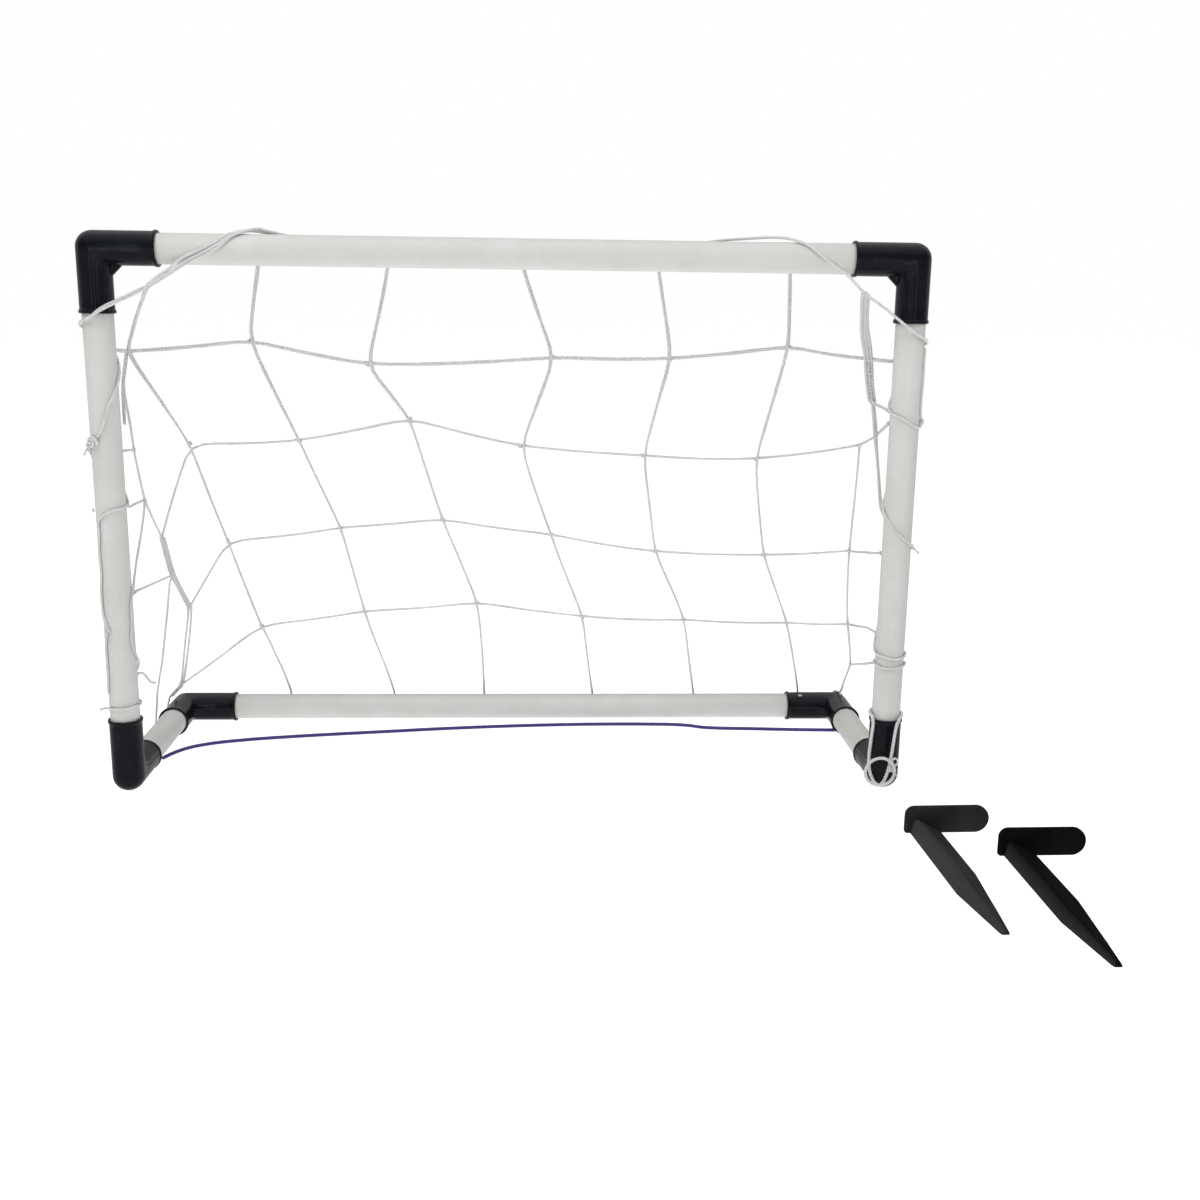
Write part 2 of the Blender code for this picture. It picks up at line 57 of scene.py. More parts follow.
POST_X = 287.5
GOAL_HEIGHT = 385
GOAL_DEPTH = 171
TUBE_RADIUS = 10.7
TUBE_WALL = 1.2
ELBOW_RADIUS = 11.9
ELBOW_ARM = 44.5
SOCKET_STOP = 13
TUBE_SEAT = 13.5
PASSAGE_RADIUS = 9.6
BORE_RADIUS = 11
# Radius and place along the arm, over the rounded rim at its mouth
RIM_PROFILE = [(ELBOW_RADIUS, along) for along in (14, 22, 31, 41.1)]
RIM_PROFILE += [(11.96, 41.6), (12.25, 41.9), (12.52, 42.25), (12.68, 42.8), (12.7, 43.3),
                (12.62, 43.9), (12.4, 44.3), (12.0, ELBOW_ARM), (11.6, ELBOW_ARM),
                (11.25, 44.35), (BORE_RADIUS, 43.9)]
MOUTH_EASE = 0.3

# Radii of the cords, the size of a net knot, and how far a rope's middle is from a tube's axis
TWINE = 1.15
ROPE = 1.12
CORNER_CORD = 1.4
GROUND_CORD_RADIUS = 1.6
KNOT = 0.64
HUG = TUBE_RADIUS + ROPE + 0.1
# Length of one turn of a rope's plies; a twine's plies and how deep the grooves between them are
ROPE_LAY = 8.6
PLIES = (3, 0.27)
SOFT_PLIES = (3, 0.12)
# Sag of a leg of net as a share of its level length
ROW_SAG = 0.014
COLUMN_SAG = 0.006
SIDE_SAG = 0.004

CAMERA_PLACE = (17.0, -976.3, 360.7)
CAMERA_YAW, CAMERA_PITCH, CAMERA_ROLL = -2.90086, -12.94614, 0.78854
CAMERA_LENS = 40.37
CAMERA_SENSOR = 36

LIGHT_AIM = (0, 60, 180)
# Place, size in metres, power and colour of each soft light
SOFT_LIGHTS = {
    "key_light": ((-1350, -1500, 2700), (2.4, 1.8), 57, (1, 1, 1)),
    "top_light": ((0, 300, 2600), (2.4, 1.8), 24, (1, 1, 1)),
    "fill_light": ((1800, -1650, 2100), (2.1, 1.8), 26, (0.97, 0.98, 1)),
}
# Place along X, width in metres and power of each thin light that draws a streak on the gloss
STRIPS = ((-700, 0.035, 0.55), (-120, 0.03, 0.45), (560, 0.035, 0.55))
STRIP_COLOUR = (0.70, 0.83, 1)

# Net knots, left to right. Row 1 is the highest.
ROW_KNOTS = {
    1: [(-278, 30, 313), (-190, 34, 322), (-106, 40, 305), (32, 38, 312), (119, 38, 312),
        (206, 34, 322), (264, 23, 314)],
    2: [(-245, 64, 243), (-162, 63, 246), (-77, 56, 264), (7, 64, 243), (102, 67, 236),
        (190, 68, 234), (270, 60, 246)],
    3: [(-228, 100, 161), (-137, 95, 173), (-56, 91, 181), (31, 97, 168), (116, 104, 153),
        (206, 106, 150), (276, 100, 155)],
    4: [(-213, 141, 81), (-125, 134, 95), (-30, 129, 104), (59, 137, 90), (146, 138, 87),
        (235, 140, 84), (283, 120, 88)],
}
ROW_STARTS = {
    1: [(-281, 13.5, 315)],
    2: [(-278, 92, 165)],
    3: [(-268, 125, 100)],
    4: [(-285, 150, 26)],
}
ROW_ENDS = {
    1: [(280, 13.2, 313)],
    2: [(275, 36, 255), (280, 13.4, 268)],
    3: [(276, 42, 165), (280, 13.4, 170)],
    4: [(281, 50, 103), (280, 13.4, 108)],
}
# Where columns 2 to 6 hang from the crossbar, and their way down its back as (y, z)
HEAD_XS = (-178, -87, 9, 106, 201)
COLUMN_HEAD = [(10.9, 391.0), (13.2, 387), (14.5, 375)]
COLUMN_FEET = {
    1: [(-204, 161, 45), (-198, 183.5, 10), (-197, 185.5, -6), (-197, 188.5, -11.6)],
    2: [(-115, 158, 50), (-107, 183.5, 10), (-106, 185.5, -6), (-106, 188.7, -11.6)],
    3: [(-27, 183.5, 8), (-26, 185.5, -6), (-26, 188.8, -11.6)],
    4: [(70, 183.5, 8), (71, 185.5, -6), (71, 188.8, -11.6)],
    5: [(161, 183.5, 10), (162, 185.5, -6), (162, 188.8, -11.6)],
    6: [(255, 180, 14), (257, 186, 2), (257, 187, -6), (257, 189.6, -11.6)],
}
RIGHT_EDGE = [(270, 60, 246), (276, 100, 155), (283, 120, 88), (289, 125, 51), (291, 164, 14.2),
              (289, 180, 11), (286, 186.6, 1), (286, 188.4, -11.4)]
SIDE_LEFT = [(-278, 30, 313), (-282, 28, 289), (-282, 45, 240), (-282, 65, 199), (-278, 92, 165),
             (-276, 108, 131), (-268, 125, 100), (-285, 150, 26), (-299, 163, 11.5),
             (-303, 168, 0), (-303.6, 170, -11)]
# More strands of the left edge: keys, seed, shift
LEFT_STRANDS = [
    ([(-280, 12.4, 243), (-282, 45, 240)], 32, (0, 0, 0)),
    ([(-278, 12, 202), SIDE_LEFT[3]], 33, (0, 0, 0)),
    (SIDE_LEFT[:2] + [(-277.5, 12.2, 262)], 41, (0, 0, 0)),
    ([SIDE_LEFT[3], (-281, 40, 168), (-279.5, 12.4, 138.5)], 42, (0, 0, 0)),
    (SIDE_LEFT[4:7], 43, (1.8, 0.6, 0)),
    (SIDE_LEFT[4:7], 44, (-1.7, 0.4, 0)),
    (SIDE_LEFT[6:9], 45, (1.6, 0.5, 0)),
]
SIDE_RIGHT = [(250, -14.5, 361), (255, 4, 336), (264, 23, 314), (266, 25, 299), (270, 28, 282),
              (274, 30, 254), (279, 22, 203), (281, 13.6, 196)]
RIGHT_STRANDS = [
    (SIDE_RIGHT, 36, (0, 0, 0)),
    (SIDE_RIGHT[:5], 37, (-2.1, 0.5, 0)),
    (SIDE_RIGHT[:5], 38, (2.1, 0.3, 0)),
    (SIDE_RIGHT[4:], 39, (1.3, 0.2, 0)),
]
# Small knots that lie on the rear right elbow, with their seeds
ELBOW_KNOTS = [((291, 163.5, 12.6), 119), ((254.5, 163.5, 11.6), 118)]
EDGE_LEFT = [(-276, 108, 131), (-280, 112, 122), (-287.5, 120, 82), (-294, 126, 50),
             (-301, 132, 22), (-304.6, 136, -3), (-306.5, 137, -11)]
# A key nearer than this to the uprights' plane is where a tie is knotted to its upright
TIE_REACH = 20
TIES = {
    "net_tie_left_upper": [(-279, 13.6, 138), (-281, 60, 133), (-276, 108, 131)],
    "net_tie_left_lower": [(-281, 13.6, 75), (-290, 60, 62), (-299, 110, 40), (-301, 129, 34)],
    "net_tie_right_upper": [(270, 28, 282), (279, 13.4, 277)],
    "net_tie_right_lower": [(289, 125, 51), (285, 60, 70), (281, 13.4, 84)],
}

HEAD_ROPE_LEFT = [(-287.5, 12.2, 327), (-295.7, 9.2, 328.5), (-299.2, 3.7, 330.5),
                  (-299, -4.3, 333), (-295.8, -10.2, 335.5), (-288.8, -13.6, 338.5),
                  (-280, -15, 343.5), (-266.5, -15, 350), (-249, -14.5, 358.3)]
HEAD_ROPE_RIGHT = [(250, -14.5, 361), (266, -15, 350), (280, -14.4, 339.5), (289, -13.2, 333.8),
                   (296, -10, 330), (299, -4.3, 327.5), (299.2, 3.7, 325.5),
                   (295.7, 9.2, 323.5), (287.5, 12.2, 322)]
# Place along the crossbar, degrees back from its top, distance from its axis
HEAD_WRAP_LEFT = [(-221, -138, HUG), (-206, -101, HUG), (-197, -73, HUG), (-191, -43, HUG),
                  (-184, -18, 12.6), (-178, -4, 13.6), (-174.5, 4, 14.4), (-169, 14, 13.5),
                  (-155, 36, 12.4), (-144, 55, HUG)]
HEAD_WRAP_RIGHT = [(235.5, -140, HUG), (226, -109, HUG), (216, -73, HUG), (208, -40, HUG),
                   (199, -14, 13), (187, 2, 14), (168, 10, 13.2), (146, 26, 12.4), (120, 55, HUG)]
# Two more strands at the left end: points below the bar, then turns round it
HEAD_SECOND = [(-249.5, -14.5, 359.5), (-241, -14, 366.2), (-232, -11.6, 372.8)]
HEAD_SECOND_WRAP = [(-224, -118, HUG), (-212, -92, HUG), (-200, -63, HUG), (-193.5, -34, HUG),
                    (-185, -8, 12.6), (-175, 14, 13), (-164, 36, 12.6), (-152, 62, HUG)]
HEAD_THIRD = [(-249.2, -14.9, 358.9), (-240, -14.2, 365), (-230, -11.3, 371.4)]
HEAD_THIRD_WRAP = [(-221.5, -128, HUG), (-208.5, -97, HUG), (-198, -68, HUG), (-192, -38, HUG),
                   (-184.5, -12, 12.4), (-175, 10, 13), (-165, 28, 12.4), (-150, 50, HUG)]
HEAD_REAR_XS = (-90, 10, 70)
HEAD_REAR_DEGREES = 60
# The end that drops down the right upright: degrees round it and height, as in LACING
HEAD_DROP_RIGHT = [(28, 324), (30, 314), (26, 300), (34, 286), (30, 277), (14, 272)]
# Degrees round an upright from its outer side by way of the front, and height
LACING = {
    "lacing_left": [(230, 312), (205, 304), (180, 297), (150, 287), (121, 277), (99, 263),
                    (75, 255), (45, 249), (15, 245), (-25, 238), (-60, 230), (-90, 223),
                    (-125, 214), (-163, 206), (-207, 204), (-250, 203), (-285, 199),
                    (-306, 194), (-304, 187), (-312, 173), (-308, 157), (-318, 143),
                    (-315, 126), (-294, 116), (-310, 105), (-311, 88), (-315, 66)],
    "lacing_right": [(270, 296), (225, 287), (180, 279), (150, 276), (121, 274), (100, 272),
                     (57, 267), (35, 267), (16, 270), (0, 271), (-30, 270), (-60, 264),
                     (-90, 256), (-110, 230), (-145, 212), (-180, 206), (-225, 196),
                     (-270, 187), (-315, 180), (-360, 177), (-405, 172), (-450, 160),
                     (-470, 130), (-505, 108), (-540, 97), (-585, 95), (-630, 93),
                     (-675, 94), (-720, 96), (-765, 93), (-810, 90), (-855, 88), (-900, 88),
                     (-945, 86), (-990, 86), (-1035, 87), (-1080, 88), (-1140, 82)],
}
# Degrees round, height, size of each lump, and whether a short cut end sticks out of it
LACING_LUMPS = {
    "lacing_left": [(60, 252, 1.3, False), (28, 248, 0.9, True), (18, 202, 0.5, False),
                    (66, 115, 0.8, True)],
    "lacing_right": [(14, 271, 0.8, False), (-2, 177, 0.7, True)],
}
# A curl of twine on the left upright, in degrees and heights
EDGE_CURL = [(235, 140), (200, 144), (178, 144), (168, 138), (158, 132), (154, 118), (147, 106),
             (165, 95), (200, 86), (235, 78)]
BOTTOM_ROPE = [(-308, 133), (-307, 155), (-304, 175), (-292, 187.5), (-270, 190), (-200, 189),
               (-100, 189.5), (0, 189), (100, 189.5), (200, 189), (270, 190.5), (292, 189),
               (303, 178), (304, 160)]
CORNER_LOOP = [(287, 12.2, 48.6), (281.4, 10.6, 48.4), (277.3, 6.6, 48), (275.4, 1, 47.6),
               (275.6, -3.6, 47), (275.7, -7.4, 45), (275.9, -8.6, 41.5), (275.6, -8.1, 36),
               (275.1, -7.5, 26), (274.6, -7, 15), (275.2, -8, 5), (277.4, -10.4, -2),
               (280, -12, -5.6), (282.6, -13, -6.2), (284.8, -13.8, -3.6), (286.6, -14.2, 1),
               (288, -14.3, 6), (289.4, -14.3, 14), (290.7, -14.1, 26), (291.8, -13.8, 36),
               (292.8, -13.5, 42), (295.4, -10.4, 45.6), (298.6, -4.6, 47), (299.5, 1.4, 47.6),
               (296.8, 7.8, 48.2), (291.5, 11.6, 48.5)]
CORNER_RING_CENTRE = (280.8, -18.2, 6.4)
CORNER_RING_HALF = (11.3, 10.9)
GROUND_CORD = [(-281, 66), (-276, 78), (-266, 92), (-249, 103), (-222, 112), (-190, 119),
               (-150, 126), (-105, 133), (-60, 140), (-10, 146), (40, 150), (85, 151.5),
               (120, 151), (142, 149.5), (155, 146.5), (165, 142), (180, 139.5), (210, 137.5),
               (245, 135), (280.8, 133.4)]

PEG_WIDTH = 22.3
PEG_HEIGHT = 11
PEG_RIDGE = 0.16
PEG_LENGTH = 155
PEG_WALL = 2.8
PEG_HEAD = (61, 20, 4.5)
PEG_LIP = 4
PEG_BITE = 2
PEG_EASE = 6.5
# Share of the blade's length, its two edges as shares of its width, its share of the height
PEG_STATIONS = [(0, 0, 1, 1), (0.2, 0, 1, 1), (0.47, 0, 1, 1), (0.5, 0, 0.98, 0.995),
                (0.64, 0, 0.88, 0.92), (0.67, 0.03, 0.857, 0.88), (0.82, 0.185, 0.757, 0.7),
                (0.985, 0.355, 0.64, 0.44), (1, 0.39, 0.61, 0.37)]
PEG_PLACES = {"peg_left": ((284.8, -93), 1.6), "peg_right": ((338.6, -133.5), 0.7)}


def middle_of(node):
    low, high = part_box(node)
    return (low + high) / 2


ORIGIN = Vector((middle_of("crossbar").x, middle_of("crossbar").y, middle_of("rear_bar").z))
GROUND = -ORIGIN.z / MM


# --- camera, floor and light


def to_world(point):
    return ORIGIN + Vector(point) * MM


def add_camera():
    """The camera's turn is a yaw, then a pitch, then a roll."""
    yaw, pitch, roll = (math.radians(a) for a in (CAMERA_YAW, CAMERA_PITCH, CAMERA_ROLL))
    ahead = Vector((-math.sin(yaw) * math.cos(pitch), math.cos(yaw) * math.cos(pitch),
                    math.sin(pitch)))
    right = Vector((math.cos(yaw), math.sin(yaw), 0))
    up = right.cross(ahead)
    x = right * math.cos(roll) + up * math.sin(roll)
    y = up * math.cos(roll) - right * math.sin(roll)
    camera = bpy.data.objects.new("camera", bpy.data.cameras.new("camera"))
    camera.data.lens = CAMERA_LENS
    camera.data.sensor_width = CAMERA_SENSOR
    camera.data.clip_start = 0.01
    turn = Matrix((x, y, -ahead)).transposed().to_4x4()
    camera.matrix_world = Matrix.Translation(to_world(CAMERA_PLACE)) @ turn
    bpy.context.scene.collection.objects.link(camera)
    bpy.context.scene.camera = camera


def add_area(name, place, aim, size, power, colour):
    light = bpy.data.lights.new(name, "AREA")
    light.shape = "RECTANGLE"
    light.size, light.size_y = size
    light.energy = power
    light.color = colour
    lamp = bpy.data.objects.new(name, light)
    lamp.location = to_world(place)
    toward = to_world(aim) - lamp.location
    lamp.rotation_euler = toward.to_track_quat("-Z", "Y").to_euler()
    bpy.context.scene.collection.objects.link(lamp)
    return lamp


def add_world():
    """A dim room that only the gloss reflects: brighter overhead and behind than in front."""
    world = bpy.data.worlds.new("studio")
    world.use_nodes = True
    tree = world.node_tree
    background = tree.nodes["Background"]
    background.inputs["Color"].default_value = (0.97, 0.985, 1.0, 1)
    toward = make_node(tree, "TexCoord").outputs["Generated"]
    split = make_node(tree, "SeparateXYZ", Vector=toward)
    height, depth = split.outputs["Z"], split.outputs["Y"]
    above = ramp_of(tree, depth, -0.2, 0.4, 0.05, 0.42)
    below = ramp_of(tree, depth, -0.2, 0.4, 0.30, 0.50)
    up = ramp_of(tree, height, -0.08, 0.08)
    level = math_of(tree, "ADD", math_of(tree, "MULTIPLY", above, up),
                    math_of(tree, "MULTIPLY", below, math_of(tree, "SUBTRACT", 1.0, up)))
    zenith = ramp_of(tree, height, 0.45, 0.95, 0, 0.5)
    feed(tree, background.inputs["Strength"], math_of(tree, "ADD", level, zenith))
    world.cycles_visibility.diffuse = False
    bpy.context.scene.world = world


def add_lights():
    """Soft lights that the gloss doesn't show, and thin strips that only the gloss shows."""
    for name, (place, size, power, colour) in SOFT_LIGHTS.items():
        add_area(name, place, LIGHT_AIM, size, power, colour).visible_glossy = False
    for x, width, power in STRIPS:
        strip = add_area(f"strip_{x}", (x, -1600, 420), (x * 0.3, 0, 200), (width, 1.7), power,
                         STRIP_COLOUR)
        strip.visible_diffuse = False
    view = bpy.context.scene.view_settings
    view.view_transform = "Standard"
    view.look = "None"


def stage_material(name, grey):
    """Matt and pale, with light of its own, so that it shows as an even pale ground."""
    material, _, shader = new_material(name)
    shader.inputs["Base Color"].default_value = (grey, grey, grey, 1)
    shader.inputs["Roughness"].default_value = 0.9
    shader.inputs["Specular IOR Level"].default_value = 0
    shader.inputs["Emission Color"].default_value = (1, 1, 1, 1)
    shader.inputs["Emission Strength"].default_value = 1
    return material


def add_plain(name, corners, material):
    """A flat sheet of the stage, seen by the camera but not in the object's gloss."""
    mesh = bpy.data.meshes.new(name)
    mesh.from_pydata(corners, [], [(0, 1, 2, 3)])
    mesh.materials.append(material)
    sheet = bpy.data.objects.new(name, mesh)
    sheet.visible_glossy = False
    bpy.context.scene.collection.objects.link(sheet)
    return sheet


def add_stage():
    """A plain pale floor, and a pale dome of sheets far round it."""
    far, top = 30, 40
    add_plain("floor", [(-far, -far, 0), (far, -far, 0), (far, far, 0), (-far, far, 0)],
              stage_material("floor", 0.36))
    pale = stage_material("backdrop", 0)
    walls = {
        "backdrop_rear": [(-far, far, 0), (far, far, 0), (far, far, top), (-far, far, top)],
        "backdrop_front": [(far, -far, 0), (-far, -far, 0), (-far, -far, top), (far, -far, top)],
        "backdrop_left": [(-far, -far, 0), (-far, far, 0), (-far, far, top), (-far, -far, top)],
        "backdrop_right": [(far, far, 0), (far, -far, 0), (far, -far, top), (far, far, top)],
    }
    for name, corners in walls.items():
        add_plain(name, corners, pale).visible_diffuse = False


# --- materials


def feed(tree, socket, value):
    """Gives the socket a number or colour, or links it to another node's output."""
    if isinstance(value, bpy.types.NodeSocket):
        tree.links.new(value, socket)
    else:
        socket.default_value = value


def make_node(tree, kind, **inputs):
    """A shader node whose inputs are numbers, colours or other nodes' outputs."""
    node = tree.nodes.new(f"ShaderNode{kind}")
    for name, value in inputs.items():
        feed(tree, node.inputs[name.replace("_", " ")], value)
    return node


def place_of(tree, scale=(1, 1, 1), turn=(0, 0, 0)):
    """The mesh's own coordinates in millimetres, scaled and turned."""
    node = tree.nodes.new("ShaderNodeAttribute")
    node.attribute_name = "place"
    mapping = make_node(tree, "Mapping", Vector=node.outputs["Vector"])
    mapping.inputs["Scale"].default_value = scale
    mapping.inputs["Rotation"].default_value = [math.radians(a) for a in turn]
    return mapping.outputs["Vector"]


def noise_of(tree, scale, detail=3.0, roughness=0.55, stretch=(1, 1, 1), turn=(0, 0, 0)):
    node = make_node(tree, "TexNoise", Vector=place_of(tree, stretch, turn), Scale=scale,
                     Detail=detail, Roughness=roughness)
    return node.outputs["Fac"]


def ramp_of(tree, value, low, high, to_low=0.0, to_high=1.0):
    node = make_node(tree, "MapRange", Value=value, From_Min=low, From_Max=high,
                     To_Min=to_low, To_Max=to_high)
    node.clamp = True
    return node.outputs["Result"]


def math_of(tree, operation, first, second=0.0):
    node = tree.nodes.new("ShaderNodeMath")
    node.operation = operation
    for socket, value in zip(node.inputs, (first, second)):
        feed(tree, socket, value)
    return node.outputs[0]


def mix_of(tree, factor, first, second):
    """A colour between two colours."""
    node = tree.nodes.new("ShaderNodeMix")
    node.data_type = "RGBA"
    for socket, value in ((0, factor), (6, first), (7, second)):
        feed(tree, node.inputs[socket], value)
    return node.outputs[2]


def stained(tree, base, mask, share, colour):
    """The base colour with this share of another colour where the mask is."""
    return mix_of(tree, math_of(tree, "MULTIPLY", mask, share), base, (*colour, 1))


def roughened(tree, rough, mask, more):
    return math_of(tree, "ADD", rough, math_of(tree, "MULTIPLY", mask, more))


def bump_of(tree, height, strength, distance, normal=None):
    node = make_node(tree, "Bump", Height=height, Strength=strength, Distance=distance * MM)
    if normal is not None:
        tree.links.new(normal, node.inputs["Normal"])
    return node.outputs["Normal"]


def new_material(name):
    material = bpy.data.materials.new(name)
    material.use_nodes = True
    tree = material.node_tree
    return material, tree, tree.nodes["Principled BSDF"]


def surface(tree, shader, base, rough, normal):
    """Links what the material has made to its shader."""
    for name, value in (("Base Color", base), ("Roughness", rough), ("Normal", normal)):
        feed(tree, shader.inputs[name], value)


def tube_material():
    """Extruded white plastic: fine draw lines, faint mottling, rubbed marks and specks."""
    material, tree, shader = new_material("extruded_white")
    draw = noise_of(tree, 1.1, 4, stretch=(1, 1, 0.012))
    cloud = noise_of(tree, 0.045, 3)
    rub = noise_of(tree, 0.35, 6, 0.7, (0.5, 0.5, 1.6), (14, 8, 0))
    rubbed = ramp_of(tree, rub, 0.60, 0.78)
    speck = ramp_of(tree, noise_of(tree, 1.4, 2), 0.76, 0.80)
    base = mix_of(tree, ramp_of(tree, cloud, 0.35, 0.68), (0.690, 0.687, 0.672, 1),
                  (0.645, 0.638, 0.612, 1))
    base = mix_of(tree, ramp_of(tree, draw, 0.38, 0.66, 0, 0.35), base, (0.62, 0.615, 0.59, 1))
    base = stained(tree, base, rubbed, 0.30, (0.55, 0.54, 0.51))
    base = stained(tree, base, speck, 0.5, (0.36, 0.34, 0.30))
    rough = ramp_of(tree, draw, 0.3, 0.7, 0.38, 0.50)
    rough = roughened(tree, rough, rubbed, 0.16)
    shader.inputs["Specular IOR Level"].default_value = 0.42
    normal = bump_of(tree, draw, 0.35, 0.10)
    normal = bump_of(tree, noise_of(tree, 0.9, 3), 0.25, 0.08, normal)
    surface(tree, shader, base, rough, normal)
    return material


def scratches(tree, turn, scale):
    """Thin hairline marks, all one way."""
    lines = noise_of(tree, scale, 2, stretch=(0.035, 1, 1), turn=turn)
    band = math_of(tree, "ABSOLUTE", math_of(tree, "SUBTRACT", lines, 0.5))
    hair = ramp_of(tree, band, 0.0, 0.006, 1, 0)
    patch = ramp_of(tree, noise_of(tree, 0.11, 2), 0.52, 0.66)
    return math_of(tree, "MULTIPLY", hair, patch)


def elbow_material():
    """Glossy blue-black moulding: orange peel, a parting line, hairlines and a little dust."""
    material, tree, shader = new_material("moulded_gloss_black")
    cloud = noise_of(tree, 0.09, 4)
    dust = noise_of(tree, 0.9, 6, 0.75)
    dusty = ramp_of(tree, dust, 0.56, 0.82)
    hair = math_of(tree, "MAXIMUM", scratches(tree, (20, 35, 50), 1.5),
                   scratches(tree, (-40, 10, -65), 1.8))
    base = mix_of(tree, ramp_of(tree, cloud, 0.3, 0.7), (0.0040, 0.0045, 0.0068, 1),
                  (0.0062, 0.0068, 0.0098, 1))
    base = stained(tree, base, dusty, 0.10, (0.07, 0.07, 0.075))
    base = stained(tree, base, hair, 0.22, (0.10, 0.105, 0.12))
    rough = ramp_of(tree, cloud, 0.3, 0.7, 0.12, 0.17)
    rough = roughened(tree, rough, dusty, 0.14)
    rough = roughened(tree, rough, hair, 0.20)
    shader.inputs["Specular IOR Level"].default_value = 0.36
    split = make_node(tree, "SeparateXYZ", Vector=place_of(tree)).outputs["Y"]
    seam = ramp_of(tree, math_of(tree, "ABSOLUTE", split), 0.08, 0.22, 1, 0)
    normal = bump_of(tree, seam, 0.15, 0.08)
    normal = bump_of(tree, noise_of(tree, 0.55, 2), 0.22, 0.16, normal)
    normal = bump_of(tree, noise_of(tree, 3.0, 3), 0.10, 0.05, normal)
    surface(tree, shader, base, rough, normal)
    return material


def peg_material(name, painted_flank_grey, face_grey, gloss, fade):
    """Satin black moulding with a fine spark texture; its steep flank is painted paler as painted
    light, for the light it catches from the left.

    The paler grey fades out between the two places across the blade that fade gives.
    """
    material, tree, shader = new_material(name)
    cloud = noise_of(tree, 0.06, 4)
    grain = noise_of(tree, 2.2, 4, 0.65)
    wear = ramp_of(tree, noise_of(tree, 0.30, 6, 0.7), 0.55, 0.80)
    flow = noise_of(tree, 0.35, stretch=(1, 0.08, 1))
    hair = scratches(tree, (5, 0, 80), 1.6)
    across = make_node(tree, "SeparateXYZ", Vector=place_of(tree)).outputs["X"]
    # Painted light: the steep flank gets a paler grey for the light it catches, fading out across
    # the blade.
    flank = ramp_of(tree, across, *fade, 1, 0)
    dark, pale = face_grey * 0.85, face_grey * 1.2
    base = mix_of(tree, ramp_of(tree, cloud, 0.3, 0.7), (dark, dark, dark * 1.1, 1),
                  (pale, pale, pale * 1.08, 1))
    base = mix_of(tree, flank, base, (painted_flank_grey, painted_flank_grey, painted_flank_grey * 1.03, 1))
    base = stained(tree, base, wear, 0.08, (0.04, 0.04, 0.04))
    base = stained(tree, base, hair, 0.06, (0.05, 0.05, 0.05))
    rough = ramp_of(tree, flow, 0.3, 0.7, 0.50, 0.62)
    rough = roughened(tree, rough, wear, 0.12)
    shader.inputs["Specular IOR Level"].default_value = gloss
    normal = bump_of(tree, grain, 0.45, 0.08, bump_of(tree, flow, 0.25, 0.20))
    surface(tree, shader, base, rough, normal)
    return material


def twine_material(name, light, dark, soil_and_shade, soil_share):
    """Twisted fibre: colour and bump run along the plies, and painted shade darkens the grooves
    between them.
    """
    material, tree, shader = new_material(name)
    fibre = noise_of(tree, 3.4, 4, 0.6, (1, 1, 0.10))
    cloud = noise_of(tree, 0.05, 4, stretch=(0.3, 0.3, 1))
    split = make_node(tree, "SeparateXYZ", Vector=place_of(tree))
    round_x = math_of(tree, "POWER", split.outputs["X"], 2.0)
    round_y = math_of(tree, "POWER", split.outputs["Y"], 2.0)
    radius = math_of(tree, "SQRT", math_of(tree, "ADD", round_x, round_y))
    # Painted shade: the grooves between the plies are mixed a little towards the soil colour, for
    # the shade that falls in them.
    painted_groove_shade = ramp_of(tree, radius, 0.80, 1.05, 1, 0)
    base = mix_of(tree, ramp_of(tree, fibre, 0.32, 0.68), dark, light)
    base = mix_of(tree, math_of(tree, "MULTIPLY", painted_groove_shade, 0.12), base, soil_and_shade)
    base = mix_of(tree, ramp_of(tree, cloud, 0.50, 0.72, 0, soil_share), base, soil_and_shade)
    rough = ramp_of(tree, fibre, 0.3, 0.7, 0.62, 0.86)
    shader.inputs["Specular IOR Level"].default_value = 0.3
    shader.inputs["Sheen Weight"].default_value = 0.15
    shader.inputs["Sheen Roughness"].default_value = 0.5
    surface(tree, shader, base, rough, bump_of(tree, fibre, 0.6, 0.16))
    return material


# --- routes


def spline(points, steps=8):
    """A Catmull-Rom curve through the points, with chord-length spacing at each span."""
    p = [np.array(point, float) for point in points]
    ends = [2 * p[0] - p[1], *p, 2 * p[-1] - p[-2]]
    route = []
    for a, b, c, d in zip(ends, ends[1:], ends[2:], ends[3:]):
        gaps = [max(np.linalg.norm(v - u) ** 0.5, 1e-6) for u, v in ((a, b), (b, c), (c, d))]
        start = ((b - a) / gaps[0] - (c - a) / (gaps[0] + gaps[1]) + (c - b) / gaps[1]) * gaps[1]
        stop = ((c - b) / gaps[1] - (d - b) / (gaps[1] + gaps[2]) + (d - c) / gaps[2]) * gaps[1]
        for step in range(steps):
            t = step / steps
            route.append(b * (2 * t ** 3 - 3 * t * t + 1) + start * (t ** 3 - 2 * t * t + t)
                         + c * (3 * t * t - 2 * t ** 3) + stop * (t ** 3 - t * t))
    route.append(p[-1])
    return route


